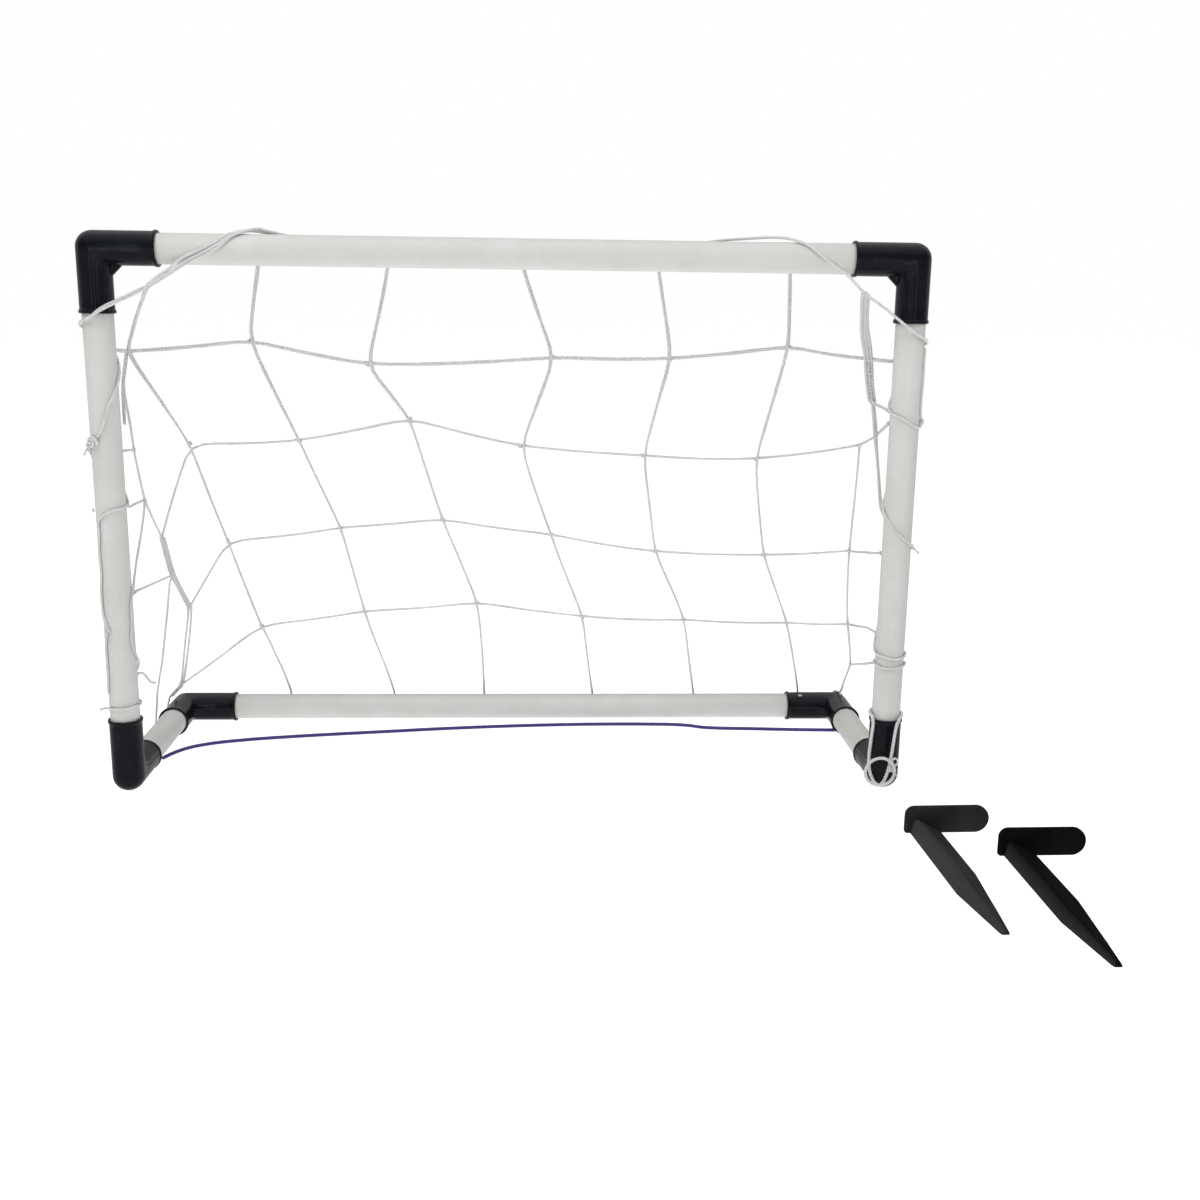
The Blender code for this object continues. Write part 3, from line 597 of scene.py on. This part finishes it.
def hang(points, sag, sway=0.9):
    """Strands between knots: each leg sags a little and wanders, its own way every time."""
    dice = random.Random(SEED + int(abs(points[0][0]) + abs(points[-1][2])))
    route = []
    for start, end in zip(points, points[1:]):
        a, b = np.array(start, float), np.array(end, float)
        length = np.linalg.norm(b - a)
        level = np.linalg.norm((b - a)[:2])
        lean = np.array([dice.uniform(-1, 1), dice.uniform(-0.3, 1), dice.uniform(-0.5, 0.5)])
        twist = dice.uniform(-0.35, 0.35)
        share = min(1.0, length / 60)
        for step in range(8):
            t = step / 8
            bow = 4 * t * (1 - t)
            wave = math.sin(math.tau * t) * twist
            drop = np.array([0, 0, -sag * level * bow])
            route.append(a + (b - a) * t + drop + lean * sway * share * (bow + wave))
    route.append(np.array(points[-1], float))
    return route


def rounded(points, passes=2):
    """Softens the turns at knots without moving them much."""
    p = np.array(points, float)
    for _ in range(passes):
        inner = p[1:-1] * 0.5 + (p[:-2] + p[2:]) * 0.25
        p = np.vstack([p[:1], inner, p[-1:]])
    return p


def unit(vector):
    v = np.array(vector, float)
    return v / np.linalg.norm(v)


def resampled(points, step, closed=False):
    """Evenly spaced points along a route, and how far along it each one is."""
    p = np.array(points, float)
    if closed:
        p = np.vstack([p, p[:1]])
    legs = np.linalg.norm(np.diff(p, axis=0), axis=1)
    along = np.concatenate(([0], np.cumsum(legs)))
    count = max(4, int(round(along[-1] / step)) + 1)
    at = np.linspace(0, along[-1], count)
    if closed:
        at = at[:-1]
    return np.stack([np.interp(at, along, p[:, i]) for i in range(3)], axis=1), at


def frames_along(route, closed=False):
    """Two directions across the route at each point, with no sudden turn."""
    if closed:
        ahead = np.roll(route, -1, axis=0) - np.roll(route, 1, axis=0)
    else:
        ahead = np.gradient(route, axis=0)
    ahead /= np.linalg.norm(ahead, axis=1)[:, None]
    first = np.cross(ahead[0], (0.31, 0.52, 0.79))
    across = []
    for direction in ahead:
        first = unit(first - direction * first.dot(direction))
        across.append(first)
    return np.array(across), np.cross(ahead, across)


# --- meshes


def grid_faces(rings, sides, closed=False):
    """Faces between rings of points; the two ends are capped unless the rings run round."""
    faces = []
    for ring in range(rings if closed else rings - 1):
        here, there = ring * sides, ((ring + 1) % rings) * sides
        for i in range(sides):
            j = (i + 1) % sides
            faces.append((here + i, here + j, there + j, there + i))
    if not closed:
        faces.append(tuple(reversed(range(sides))))
        faces.append(tuple(range((rings - 1) * sides, rings * sides)))
    return faces


def ply_section(plies, depth, per_ply=4):
    """Angles and radii round a twine of this many plies, with grooves of this depth."""
    count = plies * per_ply
    angles = np.arange(count) * math.tau / count
    dip = np.abs(np.sin(angles * plies / 2)) ** 2.2
    return angles, 1 - depth * dip


def fullness(route, along, knots, seed):
    """Net twine is fuller beside its knots and in the bunched meshes under the crossbar."""
    dice = random.Random(SEED * 7 + seed)
    first, second = dice.uniform(0, math.tau), dice.uniform(0, math.tau)
    size = 1 + 0.07 * np.sin(along / 17 + first) + 0.05 * np.sin(along / 6.1 + second)
    size *= np.interp(route[:, 2], (240, 305), (0.94, 1.32))
    for centre in knots:
        gap = np.linalg.norm(route - np.array(centre, float), axis=1)
        size += 0.2 * np.exp(-((gap / 6) ** 2))
    return size


def twine(points, radius, lay=8.0, step=1.2, closed=False, knots=None, seed=0, plies=PLIES):
    """A twisted twine as (points, faces, place). A net twine says which knots it runs through."""
    route, along = resampled(points, step, closed)
    first, second = frames_along(route, closed)
    angles, reach = ply_section(*plies)
    turn = math.tau * along / lay
    size = np.ones(len(route)) if knots is None else fullness(route, along, knots, seed)
    if not closed:
        size[0] *= 0.6
        size[-1] *= 0.6
    spread = angles[None, :] + turn[:, None]
    far = radius * reach[None, :] * size[:, None]
    ring = (first[:, None, :] * (np.cos(spread) * far)[:, :, None]
            + second[:, None, :] * (np.sin(spread) * far)[:, :, None])
    verts = (route[:, None, :] + ring).reshape(-1, 3)
    # Across the twine, place keeps how deep each point lies in a ply groove, which the material
    # reads to paint shade into the grooves.
    flat = np.broadcast_to(reach[None, :] * 1.1, far.shape)
    lay_x = np.cos(angles)[None, :] * flat
    lay_y = np.sin(angles)[None, :] * flat
    lay_z = np.broadcast_to(along[:, None], far.shape)
    place = np.stack([lay_x, lay_y, lay_z], axis=2).reshape(-1, 3)
    return verts, grid_faces(len(route), len(angles), closed), place


def knot(centre, along, across, size=1.0, seed=0):
    """A tight knot of twine, turned to the strands that run through it."""
    dice = random.Random(SEED * 31 + seed)
    u = unit(along)
    w = unit(np.cross(u, np.array(across, float)))
    v = np.cross(w, u)
    start = dice.uniform(0, math.tau)
    wide = 0.98 * size * dice.uniform(0.92, 1.08)
    tall = 0.86 * size * dice.uniform(0.92, 1.08)
    route = []
    for step in range(54):
        t = math.tau * step / 54
        reach = 2 + math.cos(3 * t + start)
        x, y = reach * math.cos(2 * t), reach * math.sin(2 * t)
        route.append(np.array(centre) + u * x * wide + v * y * tall
                     + w * math.sin(3 * t + start) * size)
    return twine(route, 0.98 * size, lay=7.0, step=0.8, closed=True)


def rope(route, radius=ROPE, plies=PLIES):
    return twine(route, radius, lay=ROPE_LAY, plies=plies)


def frayed_tail(start, toward, length, seed, radius=TWINE):
    """A cut end: a short bent tail whose plies come apart at its tip."""
    dice = random.Random(SEED * 17 + seed)
    a = np.array(start, float)
    d = unit(toward)
    side = unit(np.cross(d, (0.2, 0.9, 0.4)))
    bend = side * dice.uniform(-0.35, 0.35) * length
    end = a + d * length + bend - np.array([0, 0, 0.12 * length])
    body = spline([a, a + d * length * 0.5 + bend * 0.2, end])
    parts = [twine(body, radius * 0.95)]
    for _ in range(7):
        out = unit(d + np.array([dice.uniform(-0.8, 0.8) for _ in range(3)]))
        reach = length * dice.uniform(0.16, 0.30) + 0.8
        curl = np.array([dice.uniform(-0.5, 0.5) for _ in range(3)])
        hair = spline([end - d * 0.5, end + out * reach * 0.5, end + (out + curl) * reach], 4)
        parts.append(twine(hair, 0.28, lay=3.0, step=0.6, plies=(2, 0.2)))
    return parts


def lathe(profile, sides):
    """A turned shape about Z from (radius, height) pairs that run round a closed section."""
    angles = np.arange(sides) * math.tau / sides
    verts = np.vstack([np.stack([radius * np.cos(angles), radius * np.sin(angles),
                                 np.full(sides, float(height))], axis=1)
                       for radius, height in profile])
    return verts, grid_faces(len(profile), sides, closed=True), verts.copy()


def moved(part, turn, place):
    """The part turned and moved; its place attribute stays with it."""
    verts, faces, own = part
    rotation = np.array(turn.to_3x3())
    return verts @ rotation.T + np.array(place, float), faces, own


def make_piece(node, kind, parts, material, body="goal"):
    """One mesh object from parts in the goal's axes, in place of a CAD node.

    A point below the floor is lifted onto it, so a twine that ends there rests on the floor.
    """
    name = f"{node}_{kind}"
    verts = np.vstack([part[0] for part in parts])
    verts[:, 2] = np.maximum(verts[:, 2], GROUND)
    place = np.vstack([part[2] for part in parts])
    faces = []
    start = 0
    for part in parts:
        faces += [tuple(i + start for i in face) for face in part[1]]
        start += len(part[0])
    mesh = bpy.data.meshes.new(name)
    mesh.from_pydata((verts * MM + np.array(ORIGIN)).tolist(), [], faces)
    own = mesh.attributes.new("place", "FLOAT_VECTOR", "POINT")
    own.data.foreach_set("vector", place.astype(np.float32).ravel())
    mesh.shade_smooth()
    mesh.set_sharp_from_angle(angle=math.radians(50))
    mesh.materials.append(material)
    piece = bpy.data.objects.new(name, mesh)
    bpy.context.scene.collection.objects.link(piece)
    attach(piece, body)
    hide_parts(node)
    return piece


# --- cord on the ground


def add_ground_cord(material):
    height = GROUND + GROUND_CORD_RADIUS + 0.1
    route = spline([(x, y, height) for x, y in GROUND_CORD])
    cord = twine(route, GROUND_CORD_RADIUS, lay=10, plies=(4, 0.12))
    piece = make_piece("ground_cord", "blue", [cord], material)


# --- tubes and elbows


def tube_part(length):
    """A tube along +Z with both its mouths eased, inside and out."""
    outer, inner, ease = TUBE_RADIUS, TUBE_RADIUS - TUBE_WALL, MOUTH_EASE
    profile = [(outer - ease, 0), (outer, ease)]
    profile += [(outer, length * share / 6) for share in range(1, 6)]
    profile += [(outer, length - ease), (outer - ease, length), (inner + 0.2, length),
                (inner, length - ease), (inner, ease), (inner + 0.2, 0)]
    return lathe(profile, 64)


def add_tubes(material):
    """Each tube has its own stretch of the material, so no two are marked alike."""
    x, h, d = POST_X, GOAL_HEIGHT, GOAL_DEPTH
    between = {
        "crossbar": ((-x, 0, h), (x, 0, h)),
        "left_upright": ((-x, 0, 0), (-x, 0, h)),
        "right_upright": ((x, 0, 0), (x, 0, h)),
        "left_side_tube": ((-x, 0, 0), (-x, d, 0)),
        "right_side_tube": ((x, 0, 0), (x, d, 0)),
        "rear_bar": ((-x, d, 0), (x, d, 0)),
    }
    for index, (name, (start, end)) in enumerate(between.items()):
        run = Vector(end) - Vector(start)
        along = run.normalized()
        verts, faces, own = tube_part(run.length - 2 * TUBE_SEAT)
        fresh = own + np.array([0, 0, 1000.0 * index])
        turn = along.to_track_quat("Z", "Y").to_matrix()
        part = moved((verts, faces, fresh), turn, Vector(start) + along * TUBE_SEAT)
        make_piece(name, "tube", [part], material)


def corner_ring(radius, lean, sides):
    """Ring round arm X of the elbow's corner, leaning back over the round outer corner."""
    ring = []
    for i in range(sides):
        angle = math.tau * i / sides
        across = radius * math.cos(angle)
        side = radius * math.sin(angle)
        if across > 0:
            ring.append((across, side, across))
        else:
            ring.append((across * math.sin(lean), side, across * math.cos(lean)))
    return ring


def straight_ring(radius, along, sides):
    angles = [math.tau * i / sides for i in range(sides)]
    return [(along, radius * math.sin(a), radius * math.cos(a)) for a in angles]


def half_elbow(sides=56, steps=10):
    """Rings of one arm, from the mitre over the rounded rim into the socket and back."""
    leans = [math.pi / 4 * step / steps for step in range(steps, -1, -1)]
    rings = [corner_ring(ELBOW_RADIUS, lean, sides) for lean in leans]
    rings += [straight_ring(radius, along, sides) for radius, along in RIM_PROFILE]
    rings.append(straight_ring(BORE_RADIUS, SOCKET_STOP, sides))
    rings.append(straight_ring(PASSAGE_RADIUS, SOCKET_STOP, sides))
    rings += [corner_ring(PASSAGE_RADIUS, lean, sides) for lean in reversed(leans)]
    return rings


def web_into(bm):
    """The small web in the inner corner, with eased edges."""
    low, high, half = ELBOW_RADIUS - 0.9, ELBOW_RADIUS + 7.8, 2.0
    corners = [(low, low), (high, low), (low, high)]
    near = [bm.verts.new((x, -half, z)) for x, z in corners]
    far = [bm.verts.new((x, half, z)) for x, z in corners]
    bm.faces.new(near)
    bm.faces.new(reversed(far))
    for i in range(3):
        j = (i + 1) % 3
        bm.faces.new((near[j], near[i], far[i], far[j]))
    slope = [bm.edges.get((near[1], near[2])), bm.edges.get((far[1], far[2]))]
    bmesh.ops.bevel(bm, geom=slope, offset=0.8, segments=4, affect="EDGES", profile=0.5)


def elbow_part():
    """A hollow two-way elbow, its arms along +X and +Z from the corner."""
    bm = bmesh.new()
    rings = half_elbow()
    for arm in (rings, [[(z, y, x) for x, y, z in reversed(ring)] for ring in rings]):
        loops = [[bm.verts.new(point) for point in ring] for ring in arm]
        for low, high in zip(loops, loops[1:]):
            for i in range(len(low)):
                j = (i + 1) % len(low)
                bm.faces.new((low[i], low[j], high[j], high[i]))
    bmesh.ops.remove_doubles(bm, verts=bm.verts, dist=0.001)
    bmesh.ops.recalc_face_normals(bm, faces=bm.faces)
    web_into(bm)
    bm.verts.index_update()
    verts = np.array([v.co[:] for v in bm.verts])
    faces = [tuple(v.index for v in face.verts) for face in bm.faces]
    bm.free()
    return verts, faces, verts.copy()


def add_elbows(material):
    up, down, left, right = (0, 0, 1), (0, 0, -1), (-1, 0, 0), (1, 0, 0)
    back, front = (0, 1, 0), (0, -1, 0)
    x, h, d = POST_X, GOAL_HEIGHT, GOAL_DEPTH
    corners = {
        "top_left_elbow": ((-x, 0, h), right, down),
        "top_right_elbow": ((x, 0, h), left, down),
        "front_left_elbow": ((-x, 0, 0), back, up),
        "front_right_elbow": ((x, 0, 0), back, up),
        "rear_left_elbow": ((-x, d, 0), front, right),
        "rear_right_elbow": ((x, d, 0), front, left),
    }
    verts, faces, own = elbow_part()
    for index, (name, (place, first, second)) in enumerate(corners.items()):
        a, b = Vector(first), Vector(second)
        turn = Matrix((a, b.cross(a), b)).transposed()
        fresh = own + np.array([200.0 * index, 0, 0])
        part = moved((verts, faces, fresh), turn, place)
        make_piece(name, "moulding", [part], material)


# --- net


def crossing(knots, index):
    """Which way the strand runs through the knot at this index."""
    before = np.array(knots[max(0, index - 1)], float)
    after = np.array(knots[min(len(knots) - 1, index + 1)], float)
    return after - before


def pass_by(knots, offset):
    """The points moved by an offset, so that crossing strands lie beside each other."""
    return [tuple(np.array(k, float) + np.array(offset)) for k in knots]


def net_knots(row, knots):
    """The knots along one row, each turned to its row and column."""
    parts = []
    for index, centre in enumerate(knots):
        down = np.array([0.15 * (-1) ** index, 0.5, -1.0])
        size = KNOT * (0.86 if row == 1 else 0.96)
        parts.append(knot(centre, crossing(knots, index), down, size, seed=row * 10 + index))
    return parts


def end_knot(centre, along, across, seed):
    """The smaller knot where a net strand is tied to a tube or a rope."""
    return knot(centre, along, across, KNOT * 0.95, seed=seed)


def strand(keys, sag, seed, knots=(), shift=(0, 0, 0)):
    """One net strand through its keys."""
    route = rounded(hang(pass_by(keys, shift), sag))
    return twine(route, TWINE, knots=knots, seed=seed)


def add_rows(material):
    for row, knots in ROW_KNOTS.items():
        keys = ROW_STARTS[row] + pass_by(knots, (0, 0.5, 0.2)) + ROW_ENDS[row]
        parts = [strand(keys, ROW_SAG, row, knots)]
        parts += net_knots(row, knots)
        if row > 1:
            parts.append(end_knot(ROW_STARTS[row][0], (0.2, 0.4, -1), (1, 0, 0), 90 + row))
        parts.append(end_knot(ROW_ENDS[row][-1], (1, 0, 0.2), (0, 0, 1), 70 + row))
        make_piece(f"net_row_{row}", "twine", parts, material)


def column_keys(column):
    """A column's way over the crossbar, its knots, and its foot behind the rear bar."""
    knots = [ROW_KNOTS[row][column - 1] for row in sorted(ROW_KNOTS)]
    if column == 1:
        head = [HEAD_ROPE_LEFT[-1], (-262, 5, 340)]
    else:
        head = [(HEAD_XS[column - 2], y, z) for y, z in COLUMN_HEAD]
    return head, knots, COLUMN_FEET[column]


def add_columns(material):
    for column in COLUMN_FEET:
        head, knots, feet = column_keys(column)
        keys = head + pass_by(knots, (0, -0.5, -0.2)) + feet
        parts = [strand(keys, COLUMN_SAG, 10 + column, knots)]
        parts.append(end_knot(head[0], (1, 0, 0), (0, 0.5, -1), 100 + column))
        parts.append(end_knot(feet[-1], (1, 0, 0), (0, -0.5, 1), 110 + column))
        make_piece(f"net_column_{column}", "twine", parts, material)


def add_left_side(material):
    """The net's left edge with the strands bunched along it, and the edge strand beside it."""
    parts = [strand(SIDE_LEFT, SIDE_SAG, 31, SIDE_LEFT[4:8])]
    parts += [strand(keys, SIDE_SAG, seed, shift=shift) for keys, seed, shift in LEFT_STRANDS]
    for index, place in enumerate((SIDE_LEFT[2], SIDE_LEFT[3], SIDE_LEFT[5])):
        parts.append(end_knot(place, (0, 0.4, -1), (1, 0, 0), 123 + 20 * index))
    parts.append(end_knot(SIDE_LEFT[-1], (1, 0, 0), (0, -0.5, 1), 124))
    make_piece("net_side_left", "twine", parts, material)
    edge = [strand(EDGE_LEFT, SIDE_SAG, 34)]
    edge.append(end_knot(EDGE_LEFT[-1], (1, 0, 0), (0, -0.5, 1), 125))
    make_piece("net_edge_left", "twine", edge, material)


def add_right_side(material):
    """The net's right edge, and the bunched strands that hang beside the upright."""
    parts = [strand(RIGHT_EDGE, COLUMN_SAG, 35, RIGHT_EDGE[1:3])]
    parts.append(end_knot(RIGHT_EDGE[3], (0, 1, -0.6), (1, 0, 0), 121))
    parts.append(end_knot(RIGHT_EDGE[-1], (1, 0, 0), (0, -0.5, 1), 122))
    for centre, seed in ELBOW_KNOTS:
        parts.append(knot(centre, (1, 0, 0), (0, 1, -1), 0.45, seed))
    make_piece("net_column_7", "twine", parts, material)
    parts = [strand(keys, SIDE_SAG, seed, shift=shift) for keys, seed, shift in RIGHT_STRANDS]
    parts.append(end_knot(SIDE_RIGHT[4], (0, 0.2, -1), (1, 0, 0), 126))
    parts.append(end_knot(SIDE_RIGHT[0], (1, 0, -0.6), (0, 0.5, -1), 127))
    make_piece("net_side_right", "twine", parts, material)


def add_ties(material):
    """The short strands that tie the net's edges to the uprights."""
    for index, (name, keys) in enumerate(TIES.items()):
        parts = [twine(rounded(spline(keys)), TWINE, knots=(), seed=40 + index)]
        if name == "net_tie_left_upper":
            parts.append(twine(post_route(-1, EDGE_CURL), TWINE * 0.9))
        knotted = keys[-1] if abs(keys[-1][1]) < TIE_REACH else keys[0]
        parts.append(end_knot(knotted, (1, 0, 0.1), (0, 0, 1), 130 + index))
        make_piece(name, "twine", parts, material)


# --- ropes and lacing


def round_bar(x, degrees_back, radius):
    """A point round the crossbar: the angle goes back from its top."""
    angle = math.radians(degrees_back)
    return (x, radius * math.sin(angle), GOAL_HEIGHT + radius * math.cos(angle))


def round_post(side, degrees, height, radius=HUG):
    """A point round an upright: the angle goes from its outer side by way of the front."""
    angle = math.radians(degrees)
    return (side * (POST_X + radius * math.cos(angle)), -radius * math.sin(angle), height)


def post_route(side, turns, radius=HUG):
    """A smooth route round an upright through (degrees, height) pairs."""
    smooth = spline([(degrees, height, 0) for degrees, height in turns], 4)
    return [round_post(side, degrees, height, radius) for degrees, height, _ in smooth]


def add_head_rope(material):
    """One rope from upright to upright, wound round the crossbar near both of its ends."""
    left = [round_bar(*turn) for turn in HEAD_WRAP_LEFT]
    right = [round_bar(*turn) for turn in HEAD_WRAP_RIGHT]
    rear = [round_bar(x, HEAD_REAR_DEGREES, HUG) for x in HEAD_REAR_XS]
    keys = HEAD_ROPE_LEFT + left + rear + right[::-1] + HEAD_ROPE_RIGHT
    parts = [rope(spline(keys), plies=SOFT_PLIES)]
    for free, wrap in ((HEAD_SECOND, HEAD_SECOND_WRAP), (HEAD_THIRD, HEAD_THIRD_WRAP)):
        route = free + [round_bar(*turn) for turn in wrap]
        parts.append(rope(spline(route), plies=SOFT_PLIES))
    bunched = [np.array(point) + (0, -0.4, 1.5) for point in HEAD_ROPE_LEFT[5:]]
    parts.append(twine(spline([bunched[0] + (0, 0.8, -1.2), *bunched[1:]]), 0.8, lay=7.6))
    parts.append(knot(HEAD_ROPE_LEFT[-1], (1, -0.3, 0.5), (0, 0.5, -1), KNOT, seed=139))
    parts.append(twine(post_route(1, HEAD_DROP_RIGHT, HUG - 0.2), 0.9))
    make_piece("head_rope", "twine", parts, material)


def add_lacing(material):
    """The ropes wound down the uprights, with their lumps and cut ends."""
    for name, turns in LACING.items():
        side = -1 if name == "lacing_left" else 1
        parts = [rope(rounded(post_route(side, turns), 1))]
        for index, (degrees, height, size, cut_end) in enumerate(LACING_LUMPS[name]):
            centre = round_post(side, degrees, height, HUG + 0.5 * size)
            out = np.array(round_post(side, degrees, height, HUG + 9)) - centre
            seed = 150 + index + 10 * side
            parts.append(knot(centre, (out[1], -out[0], -4), (0, 0, 1), size, seed))
            if cut_end:
                parts += frayed_tail(centre, out / 9 + (0, 0, -1.1), 4.5, seed, ROPE * 0.8)
        if side < 0:
            parts += left_tail()
        make_piece(name, "twine", parts, material)


def left_tail():
    """The lacing's cut end, once round the foot of the left upright."""
    path = [round_post(-1, degrees, 54 + 0.01 * degrees) for degrees in range(250, 29, -20)]
    tail = frayed_tail(path[-1], (-0.8, -0.4, 0.1), 4.5, seed=9)
    return [twine(spline(path, 4), ROPE * 0.9)] + tail


def add_bottom_rope(material):
    """The rope that lies on the floor round the back, and its cut end."""
    height = GROUND + ROPE + 0.15
    route = spline([(x, y, height) for x, y in BOTTOM_ROPE], 16)
    parts = [rope(route)]
    parts += frayed_tail((303.8, 161, height), (0.1, -1, 0.5), 7, 171, ROPE)
    make_piece("bottom_rope", "twine", parts, material)


def oval(centre, wide, tall, wave, count):
    """Points round an upright oval that weaves a little to the front and back."""
    turns = [math.tau * step / count for step in range(count)]
    return [np.array(centre, float) + np.array((wide * math.cos(a), wave * math.sin(2 * a),
                                                tall * math.sin(a))) for a in turns]


def add_corner_cords(material):
    """The loop and the small ring of cord on the front right elbow."""
    loop = [rope(spline(CORNER_LOOP), CORNER_CORD)]
    loop.append(knot((290.2, -15.4, 8), (0.3, 0, 1), (1, 0, 0), 0.85, seed=181))
    loop.append(twine(oval((292.6, -15.4, 13.4), 2.2, 2.8, 0.5, 16), 0.95, lay=7, closed=True))
    loop += frayed_tail((291, -15.2, 7), (0.5, -0.2, -1), 4, seed=182)
    make_piece("corner_loop", "cord", loop, material)
    ring = oval(CORNER_RING_CENTRE, *CORNER_RING_HALF, 0.3, 60)
    make_piece("corner_ring", "cord", [twine(ring, CORNER_CORD, lay=7.8, closed=True)],
               material)


# --- pegs


def eased(corners, reach=0.5, steps=3):
    """The section with every corner rounded over."""
    points = []
    count = len(corners)
    for i, corner in enumerate(corners):
        here = np.array(corner, float)
        before = np.array(corners[i - 1], float) - here
        after = np.array(corners[(i + 1) % count], float) - here
        a = here + before * min(0.45, reach / max(np.linalg.norm(before), 1e-6))
        b = here + after * min(0.45, reach / max(np.linalg.norm(after), 1e-6))
        for step in range(steps + 1):
            t = step / steps
            points.append(a * (1 - t) ** 2 + here * 2 * t * (1 - t) + b * t * t)
    return points


def blade_section(width, height, hollow):
    """Angle section: a steep left flank, a soft ridge and a long low slope, hollow below."""
    ridge, crown = PEG_RIDGE * width, 0.06 * width
    wall = min(PEG_WALL, 0.3 * width)
    roof = max(0.06, (height - 1.5 * wall) * hollow)
    corners = [(0, 0), (ridge - crown, 0.93 * height), (ridge, height),
               (ridge + 1.5 * crown, 0.96 * height), (width, 0.45 * wall), (width, 0),
               (width - 1.6 * wall, 0), (ridge + 0.6 * wall, roof), (0.9 * wall, 0)]
    return eased(corners)


def blade_part():
    """The blade; its place attribute gives the same X to the ridge all along."""
    rings, places = [], []
    for share, left, right, tall in PEG_STATIONS:
        along = PEG_BITE - share * (PEG_LENGTH + PEG_BITE)
        wide = right - left
        hollow = min(1, max(0, (0.98 - share) / 0.12))
        for x, z in blade_section(PEG_WIDTH * wide, PEG_HEIGHT * tall, hollow):
            rings.append((x + PEG_WIDTH * left, along, z))
            places.append((x / wide, along, z))
    sides = len(rings) // len(PEG_STATIONS)
    verts = np.array(rings, float)
    return verts, grid_faces(len(PEG_STATIONS), sides), np.array(places, float)


def arc(across, up, radius, start, turn, count):
    """Points round part of a circle, by equal turns in degrees from a start angle."""
    angles = [math.radians(start + turn * step) for step in range(count)]
    return [(across + radius * math.cos(a), up + radius * math.sin(a)) for a in angles]


def head_outline():
    """The head's face: a long tab, fully round at its free end and eased at the blade's."""
    length, height, _ = PEG_HEAD
    radius, foot = height / 2, 2
    return (arc(length - PEG_LIP - radius, radius, radius, -90, 7.5, 25)
            + arc(PEG_EASE - PEG_LIP, height - PEG_EASE, PEG_EASE, 90, 11.25, 9)
            + arc(foot - PEG_LIP, foot, foot, 180, 22.5, 5))


def head_part():
    """The tab with its two long rims rounded over."""
    outline = np.array(head_outline())
    ahead = np.roll(outline, -1, axis=0) - np.roll(outline, 1, axis=0)
    ahead /= np.linalg.norm(ahead, axis=1)[:, None]
    inward = np.stack([-ahead[:, 1], ahead[:, 0]], axis=1)
    thick = PEG_HEAD[2]
    ease = 1.5
    steps = [math.radians(15 * i) for i in range(7)]
    layers = [(ease * (1 - math.sin(a)), ease * (1 - math.cos(a))) for a in steps]
    layers += [(inset, thick - depth) for inset, depth in reversed(layers)]
    rings = []
    for inset, depth in layers:
        ring = outline + inward * inset
        rings.append(np.stack([ring[:, 0], np.full(len(ring), depth), ring[:, 1]], axis=1))
    verts = np.vstack(rings)
    own = verts + np.array([100, 0, 0])
    return verts, grid_faces(len(rings), len(outline)), own


def add_pegs(materials):
    for name, ((x, y), turn) in PEG_PLACES.items():
        spin = Matrix.Rotation(math.radians(turn), 3, "Z")
        parts = [moved(part, spin, (x, y, GROUND)) for part in (head_part(), blade_part())]
        make_piece(name, "moulding", parts, materials[name], body=name)


# --- everything


def main():
    add_camera()
    # Each twine's third colour is its soil colour, which also serves as painted shade in the
    # grooves between its plies.
    add_ground_cord(twine_material("blue_cord", (0.085, 0.065, 0.28, 1), (0.045, 0.033, 0.17, 1),
                                   (0.02, 0.017, 0.08, 1), 0.2))
    add_world()
    add_lights()
    add_stage()
    add_tubes(tube_material())
    add_elbows(elbow_material())
    white = twine_material("white_twine", (0.80, 0.80, 0.79, 1), (0.67, 0.67, 0.66, 1),
                           (0.52, 0.515, 0.495, 1), 0.28)
    add_rows(white)
    add_columns(white)
    add_left_side(white)
    add_right_side(white)
    add_ties(white)
    add_head_rope(white)
    add_lacing(white)
    add_bottom_rope(white)
    add_corner_cords(white)
    # The pegs get lit and shaded copies of one material: the left one's greys are painted lighter
    # and the right one's darker, as painted light and painted shade.
    add_pegs({"peg_left": peg_material("moulded_black_painted_lit_left", 0.045, 0.022, 0.03, (5, 11.6)),
              "peg_right": peg_material("moulded_black_painted_shaded_right", 0.030, 0.006, 0.002, (0.8, 3.4))})


main()
